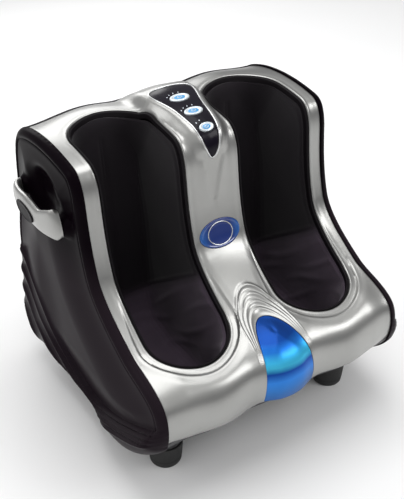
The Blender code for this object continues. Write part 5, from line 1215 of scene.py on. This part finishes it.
def panel_relief(y, z, edge):
    """How far a side panel's face stands out of the seam plane."""
    low = under_swoosh(y, z)
    apart = (SKIRT_SPACING + SKIRT_WIDENING * ease((y + 0.02) / 0.20)) * MM
    skirt = sum(share * ease((low - k * apart) / SKIRT_SLOPE) for k, share in enumerate(SKIRT_STEPS))
    lip = sum(np.exp(-((low - k * apart - LIP_PLACE) / (0.2 * apart + 1 * MM))**2)
              for k in range(len(SKIRT_STEPS)))
    high = PANEL_RIM + SKIRT_RISE * skirt
    out = high * np.sqrt(1 - (1 - np.clip(edge / high, 0, 1))**2)
    out = out + (1 - skirt) * PANEL_BULGE * ease((edge - PANEL_RIM) / BULGE_RUN)
    hip = ease((low + HIP_START) / HIP_RUN) * ease(edge / high) * ease((y - 0.06) / 0.10)
    out = out + HIP * (1 - skirt) * hip
    out = out + LIP * lip * ease((edge - 6 * MM) / (12 * MM))
    out = out + RIM_BEAD * np.exp(-((edge - RIM_BEAD_PLACE) / RIM_BEAD_WIDTH)**2) * (1 - skirt)
    out = out - RIM_GROOVE * np.exp(-((edge - RIM_GROOVE_PLACE) / RIM_GROOVE_WIDTH)**2) * (1 - skirt)
    hollow = np.hypot((y - HOLLOW_Y) / HOLLOW_HALF_Y, (z - HOLLOW_Z) / HOLLOW_HALF_Z)
    out = out - HOLLOW_DEPTH * (1 - ease((hollow - 0.25) / 0.75))
    boss = HANDLE_FOOT - PANEL_FACE - BOSS_GAP
    for end in (-0.5, 0.5):
        away = np.hypot(y - HANDLE_Y - end * HANDLE_SPAN, z - HANDLE_Z)
        hold = 1 - ease((away - BOSS_RADIUS) / BOSS_SLOPE)
        out = out * (1 - hold) + boss * hold
    return out


def make_side_panel():
    """The right side panel's shell, with closer points along its rim and its swoosh."""
    loop = even(BODY, 2.4 * MM)
    run = np.roll(loop, -1, 0)
    if (loop[:, 0] * run[:, 1] - loop[:, 1] * run[:, 0]).sum() < 0:
        loop = loop[::-1]
    loop = moved(loop, RIM_PROUD)
    dense = even(loop, 2 * MM)
    rows = []
    for d in RIM_ROWS:
        row = moved(dense, -d * MM)
        rows.append(row[from_edge(row, [loop]) > 0.97 * d * MM])
    marks = np.linspace(0, SWOOSH.length, 260)
    flow, side = SWOOSH.at(marks), SWOOSH.outward(marks)
    for d in np.arange(-1, 62, 1.6):
        row = flow - side * d * MM
        away = np.abs(under_swoosh(row[:, 0], row[:, 1]))
        rows.append(row[np.abs(away - abs(d) * MM) < 0.4 * MM])
    flat = flat_mesh(loop, [], rows, 3.2 * MM)

    def place(y, z):
        edge = from_edge(np.stack([y, z], -1), [loop])
        return np.stack([PANEL_FACE + panel_relief(y, z, edge), y, z], -1)

    return shell("side_panel_right_shell", flat, place, PANEL_THICK)


right_panel = make_side_panel()
left_panel = mirrored(right_panel, "side_panel_left_shell")
done(right_panel, BLACK, replaces=["side_panel_right"], angle=45)
done(left_panel, BLACK, replaces=["side_panel_left"], angle=45)


# Handles and their plates

BOW = curve(((0.0, 0.0), (0.0, 0.50), (0.10, 0.90), (0.28, 0.97), (0.42, 1.01), (0.58, 1.01),
             (0.72, 0.97), (0.90, 0.90), (1.0, 0.50), (1.0, 0.0)), 16)
BOW_HALF_HEIGHT, BOW_HALF_THICK = 16 * MM, 6 * MM
# Along the bow: height and thickness, in shares of those two, and how many millimetres it is raised
BOW_HEIGHTS = ((0.0, 1.18), (0.05, 1.45), (0.28, 1.08), (0.42, 1.15), (0.55, 1.15), (0.75, 1.05),
               (1.0, 0.9))
BOW_THICKS = ((0.0, 1.0), (0.12, 0.85), (0.3, 0.95), (0.5, 1.05), (0.8, 1.0), (1.0, 1.0))
BOW_RAISES = ((0.0, 9.3), (0.05, 8.6), (0.28, 1.6), (0.52, 2.8), (0.8, 1.0), (1.0, 0.5))
BOW_LIFT, FRONT_REACH, FRONT_SHIFT, FRONT_LEAN = 0.2 * MM, 7 * MM, 3 * MM, 5 * MM

PLATE_PROUD, PLATE_SHIFT_Y, PLATE_SHIFT_Z = 7.3 * MM, 4 * MM, 2 * MM
PLATE_HALF_Y, PLATE_HALF_Z = 28 * MM, 12.5 * MM
PLATE_SAG, PLATE_SAG_AT = 0.5 * MM, 30 * MM     # how far the plate bends in, and how far out that is
PLATE_SECTION = np.array([
    (0.0, 0.0), (0.55, 0.0), (0.80, -0.1), (0.84, 0.25), (0.90, 0.40), (0.96, 0.25), (1.0, -0.4),
    (1.0, -3.6), (0.0, -3.6)])


def eased(u, table):
    """A value read from a table, with no sharp turn at its rows."""
    spots, values = np.array(table).T
    i = np.clip(np.searchsorted(spots, u, side="right") - 1, 0, len(spots) - 2)
    return values[i] + (values[i + 1] - values[i]) * ease((u - spots[i]) / (spots[i + 1] - spots[i]))


def make_handle():
    """The right handle: a bow that swells to a broad, leaning front end."""
    line = Line(BOW * (HANDLE_SPAN, HANDLE_OUT))

    def place(u, v):
        turn = 2 * pi * v
        spot = line.at(u * line.length)
        run = line.run(u * line.length)
        ends = (u < 0.001) | (u > 0.999)
        run = np.where(ends[:, None], np.where(u[:, None] < 0.5, (0.0, 1.0), (0.0, -1.0)), run)
        high = BOW_HALF_HEIGHT * eased(u, BOW_HEIGHTS)
        thick = BOW_HALF_THICK * eased(u, BOW_THICKS)
        raised = MM * eased(u, BOW_RAISES)
        across = np.sign(np.sin(turn)) * np.abs(np.sin(turn))**0.75 * thick
        up = np.sign(np.cos(turn)) * np.abs(np.cos(turn))**0.8 * high
        lean = (1 - ease(u / 0.12)) * (FRONT_SHIFT + FRONT_LEAN * up / high)
        y = HANDLE_Y - HANDLE_SPAN / 2 + spot[:, 0] - run[:, 1] * across
        y = y - FRONT_REACH * (1 - ease(u / 0.25)) + lean
        x = HANDLE_FOOT + BOW_LIFT + spot[:, 1] + run[:, 0] * across
        return np.stack([x, y, HANDLE_Z + raised + up], -1)

    piece = laid("handle_right_bow", 90, 32, place)
    in_edit_mode(piece, lambda: bpy.ops.mesh.select_all(action="DESELECT"),
                 lambda: bpy.ops.mesh.select_non_manifold(), lambda: bpy.ops.mesh.fill())
    return face_out(piece)


def make_plate():
    """The oval plate on the right handle's bow, with a low rim."""
    face = HANDLE_FOOT + BOW_LIFT + 1.005 * HANDLE_OUT + PLATE_PROUD

    def place(turn, share, above):
        y = HANDLE_Y + PLATE_SHIFT_Y + PLATE_HALF_Y * share * np.cos(turn)
        z = HANDLE_Z - PLATE_SHIFT_Z + PLATE_HALF_Z * share * np.sin(turn)
        sag = PLATE_SAG * ((y - HANDLE_Y) / PLATE_SAG_AT)**2
        return np.stack([face + above * MM - sag, y, z], -1)

    return turned("handle_right_badge", 64, PLATE_SECTION, place)


handle, plate = make_handle(), make_plate()
left_handle, left_plate = mirrored(handle, "handle_left_bow"), mirrored(plate, "handle_left_badge")
for side_name, bow, oval_plate in (("left", left_handle, left_plate), ("right", handle, plate)):
    done(bow, SILVER, replaces=[f"handle_{side_name}"], angle=50)
    done(oval_plate, RING, replaces=[f"handle_plate_{side_name}"], angle=50)


# Rear cover, with vents and the holes of the power fittings

REAR_WALL, REAR_ROUND = 2.6 * MM, 1.6 * MM
REAR_ROWS = (0.6, 1.4, 2.4)
FITTINGS_HEIGHT = 0.360 * BODY_HEIGHT
FITTING_HOLES = ((118 * MM, 14.4 * MM, 10.4 * MM), (70 * MM, 9.9 * MM, 13.4 * MM))   # inlet and switch
FUSE_PLACE, FUSE_HOLE = 36 * MM, 7.4 * MM
VENTS, VENT_HEIGHT, VENT_STEP = 5, 0.600 * BODY_HEIGHT, 9      # the step in millimetres
VENT_HALF, VENT_ROUND = 45 * MM, 1.5 * MM
FIELD_Z, FIELD_DEPTH = 270 * MM, 1.2 * MM       # a shallow sunk field round the vents
FIELD_HALF, FIELD_HALF_HEIGHT, FIELD_SLOPE = 70 * MM, 55 * MM, 8 * MM
TOP_EDGE_DROP, TOP_EDGE_RUN = 2.2 * MM, 9 * MM


def along_rear(z):
    """How far along the rear line a height is."""
    order = np.argsort(REAR.points[:, 1])
    return float(np.interp(z, REAR.points[order, 1], REAR.marks[order]))


def rear_holes():
    """The fittings' holes, then the vents, in the rear cover's flat drawing."""
    fit = along_rear(FITTINGS_HEIGHT)
    fittings = [rectangle((x - half_x, fit - half_z), (x + half_x, fit + half_z), 3 * MM)
                for x, half_x, half_z in FITTING_HOLES]
    fittings.append(oval((FUSE_PLACE, fit), FUSE_HOLE, FUSE_HOLE, 2 * MM))
    turn = np.linspace(-pi / 2, pi / 2, 7)
    vents = []
    for i in range(VENTS):
        middle = along_rear(VENT_HEIGHT + (i - 2.5) * VENT_STEP * MM + VENT_ROUND)
        cap = np.stack([VENT_HALF + VENT_ROUND * np.cos(turn) - VENT_ROUND,
                        middle + VENT_ROUND * np.sin(turn)], -1)
        vents.append(even(np.vstack([cap, cap * (-1, -1) + (0, 2 * middle)]), 3 * MM, True))
    return fittings, vents


def make_rear_cover():
    top = REAR.length
    fittings, vents = rear_holes()
    rows = [between_seams(top, 4 * MM, d) for d in REAR_ROWS]
    rows += [even(moved(vent, 1.5 * MM), 3 * MM) for vent in vents]
    flat = flat_mesh(between_seams(top, 4 * MM), fittings + vents, rows, 6 * MM)
    field_middle = along_rear(FIELD_Z)

    def place(x, t):
        edge = np.minimum(np.minimum(SEAM_HALF - np.abs(x), t), top - t)
        across = plateau(x, FIELD_HALF, FIELD_SLOPE)
        field = across * plateau(t - field_middle, FIELD_HALF_HEIGHT, FIELD_SLOPE) * (edge > 20 * MM)
        inwards = rounded(edge, REAR_ROUND) + FIELD_DEPTH * field
        yz = REAR.at(t) - REAR.outward(t) * inwards[:, None]
        lobe = rear_lobe(x) * (1 - ease((top - t) / REAR_LOBE_RUN))
        lobe = lobe - TOP_EDGE_DROP * (1 - ease((top - t) / TOP_EDGE_RUN))
        return np.stack([x, yz[:, 0], yz[:, 1] + lobe], -1)

    return shell("rear_cover_shell", flat, place, REAR_WALL)


done(make_rear_cover(), BLACK, replaces=["rear_cover"], angle=45)


# Rubber feet

FOOT_SECTION = np.array([       # radius and height
    (0, 18.0), (5.5, 18.0), (5.5, 1.5), (8.0, 1.0), (9.5, 0.0), (21.5, 0.0), (23.6, 0.6), (24.4, 2.4),
    (24.9, 9.0), (25.2, 10.2), (24.6, 11.0), (24.6, 12.4), (25.4, 13.2), (26.2, 26.0), (27.0, 38.0),
    (27.6, 40.6), (27.0, 41.6), (0, 41.6)]) * MM


def make_foot(name, x, y):
    """A rubber foot with a screw hole under it and a groove round it."""
    def place(turn, radius, height):
        return np.stack([x + radius * np.cos(turn), y + radius * np.sin(turn), height], -1)

    return turned(f"{name}_pad", 64, FOOT_SECTION, place)


for end, x, y in FOOT_PLACES:
    for side_name, side in SIDES:
        name = f"foot_{end}_{side_name}"
        done(make_foot(name, side * x, y), RUBBER, replaces=[name])


# Finishes of the solids that are shown as they are

OWN_FINISHES = {
    "base_tray": PLASTIC, "control_board": BOARD, "motor": CAST, "transformer": COPPER,
    "worm_wheel": BRONZE, "belt": RUBBER, "gearbox_body": CAST, "gearbox_lid": CAST,
}
FINISHES = (("shaft", SHAFTS), ("rod", SHAFTS), ("chassis", STEEL), ("upright", STEEL), ("paddle", NYLON),
            ("pulley", NYLON), ("bearing", NYLON), ("bed", NYLON), ("fuse", PLASTIC), ("inlet", PLASTIC),
            ("switch", PLASTIC))
for name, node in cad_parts.items():
    if node.hide_render:
        continue
    by_word = next((finish for word, finish in FINISHES if word in name), PLASTIC)
    material = OWN_FINISHES.get(name, by_word)
    node.data.materials.clear()
    node.data.materials.append(material)


# Floor, light and camera

SOFTBOXES = (   # place, what it looks at, size and power
    ("overhead", (0.15, 0.3, 2.1), (0.15, 0.3, 0), (1.5, 1.7), 20),
    ("front", (1.18, -1.20, 1.56), (0, 0, 0.25), (0.9, 0.6), 8.5),
    ("rear", (0.1, 1.60, 0.95), (0, 0, 0.35), (1.3, 0.7), 8),
    ("left", (-1.9, 0.6, 1.5), (0, 0, 0.3), (0.9, 0.9), 6),
)
ROOM_STRENGTH = 0.70
ROOM_DIRECTION = (-0.30, 0.0, 0.954)        # towards the light side of the room
ROOM_STOPS = ((0.50, (0.30, 0.30, 0.31, 1)), (0.82, (1.0, 1.0, 1.0, 1)))
CAMERA_PLACE = (-0.5908, -0.8846, 1.0305)
CAMERA_TURN, CAMERA_TILT, CAMERA_ROLL = radians(-33.25), radians(36.30), radians(0.35)
FOCAL_PIXELS, PHOTO_HEIGHT_PIXELS, SENSOR_MM = 860, 499, 36


def make_stage():
    """A pale floor with room for the shadow."""
    deselect()
    bpy.ops.mesh.primitive_plane_add(size=12)
    floor = bpy.context.object
    floor.name = floor.data.name = "floor"
    ground = Finish("floor_paper", (0.93, 0.93, 0.93), 0.9)
    grain = ground.noise(3.0, 2.0)
    ground.set("Base Color", ground.shades(grain, (0.3, (0.925, 0.925, 0.925)), (0.7, (0.935, 0.935, 0.935))))
    floor.data.materials.append(ground.made)


def add_softbox(name, place, aim, size, watts):
    deselect()
    bpy.ops.object.light_add(type="AREA", location=place)
    lamp = bpy.context.object
    lamp.name = name
    lamp.data.shape = "RECTANGLE"
    lamp.data.size, lamp.data.size_y = size
    lamp.data.energy = watts
    lamp.rotation_euler = (Vector(aim) - Vector(place)).to_track_quat("-Z", "Y").to_euler()


def light_world():
    """White to the camera, and a soft grey room to the object."""
    world = bpy.data.worlds.new("studio")
    bpy.context.scene.world = world
    world.use_nodes = True
    tree = world.node_tree
    tree.nodes.clear()
    node = {}
    for key, kind in (("out", "OutputWorld"), ("mix", "MixShader"), ("room", "Background"),
                      ("white", "Background"), ("path", "LightPath"), ("place", "TexCoord"),
                      ("side", "VectorMath"), ("range", "MapRange"), ("ramp", "ValToRGB")):
        node[key] = tree.nodes.new("ShaderNode" + kind)
    node["white"].inputs["Color"].default_value = (1, 1, 1, 1)
    node["room"].inputs["Strength"].default_value = ROOM_STRENGTH
    node["range"].inputs["From Min"].default_value = -1.0
    for stop, (spot, shade) in zip(node["ramp"].color_ramp.elements, ROOM_STOPS):
        stop.position, stop.color = spot, shade
    node["side"].operation = "DOT_PRODUCT"
    node["side"].inputs[1].default_value = ROOM_DIRECTION
    link = tree.links.new
    link(node["place"].outputs["Generated"], node["side"].inputs[0])
    link(node["side"].outputs["Value"], node["range"].inputs["Value"])
    link(node["range"].outputs["Result"], node["ramp"].inputs["Fac"])
    link(node["ramp"].outputs["Color"], node["room"].inputs["Color"])
    link(node["path"].outputs["Is Camera Ray"], node["mix"].inputs["Fac"])
    link(node["room"].outputs["Background"], node["mix"].inputs[1])
    link(node["white"].outputs["Background"], node["mix"].inputs[2])
    link(node["mix"].outputs["Shader"], node["out"].inputs["Surface"])


def add_camera():
    """The photo's camera, solved from points on the seam, the wells and the feet."""
    turn, tilt, roll = CAMERA_TURN, CAMERA_TILT, CAMERA_ROLL
    back = Vector((np.sin(turn) * np.cos(tilt), -np.cos(turn) * np.cos(tilt), np.sin(tilt)))
    right = (-back).cross(Vector((0, 0, 1))).normalized()
    up = right.cross(-back)
    across = right * float(np.cos(roll)) + up * float(np.sin(roll))
    above = up * float(np.cos(roll)) - right * float(np.sin(roll))
    camera = bpy.data.objects.new("camera", bpy.data.cameras.new("camera"))
    bpy.context.scene.collection.objects.link(camera)
    axes = Matrix((across, above, back)).transposed().to_4x4()
    camera.matrix_world = Matrix.Translation(CAMERA_PLACE) @ axes
    camera.data.lens = FOCAL_PIXELS * SENSOR_MM / PHOTO_HEIGHT_PIXELS
    bpy.context.scene.camera = camera


make_stage()
light_world()
for softbox in SOFTBOXES:
    add_softbox(*softbox)
add_camera()
bpy.context.scene.view_settings.view_transform = "Standard"
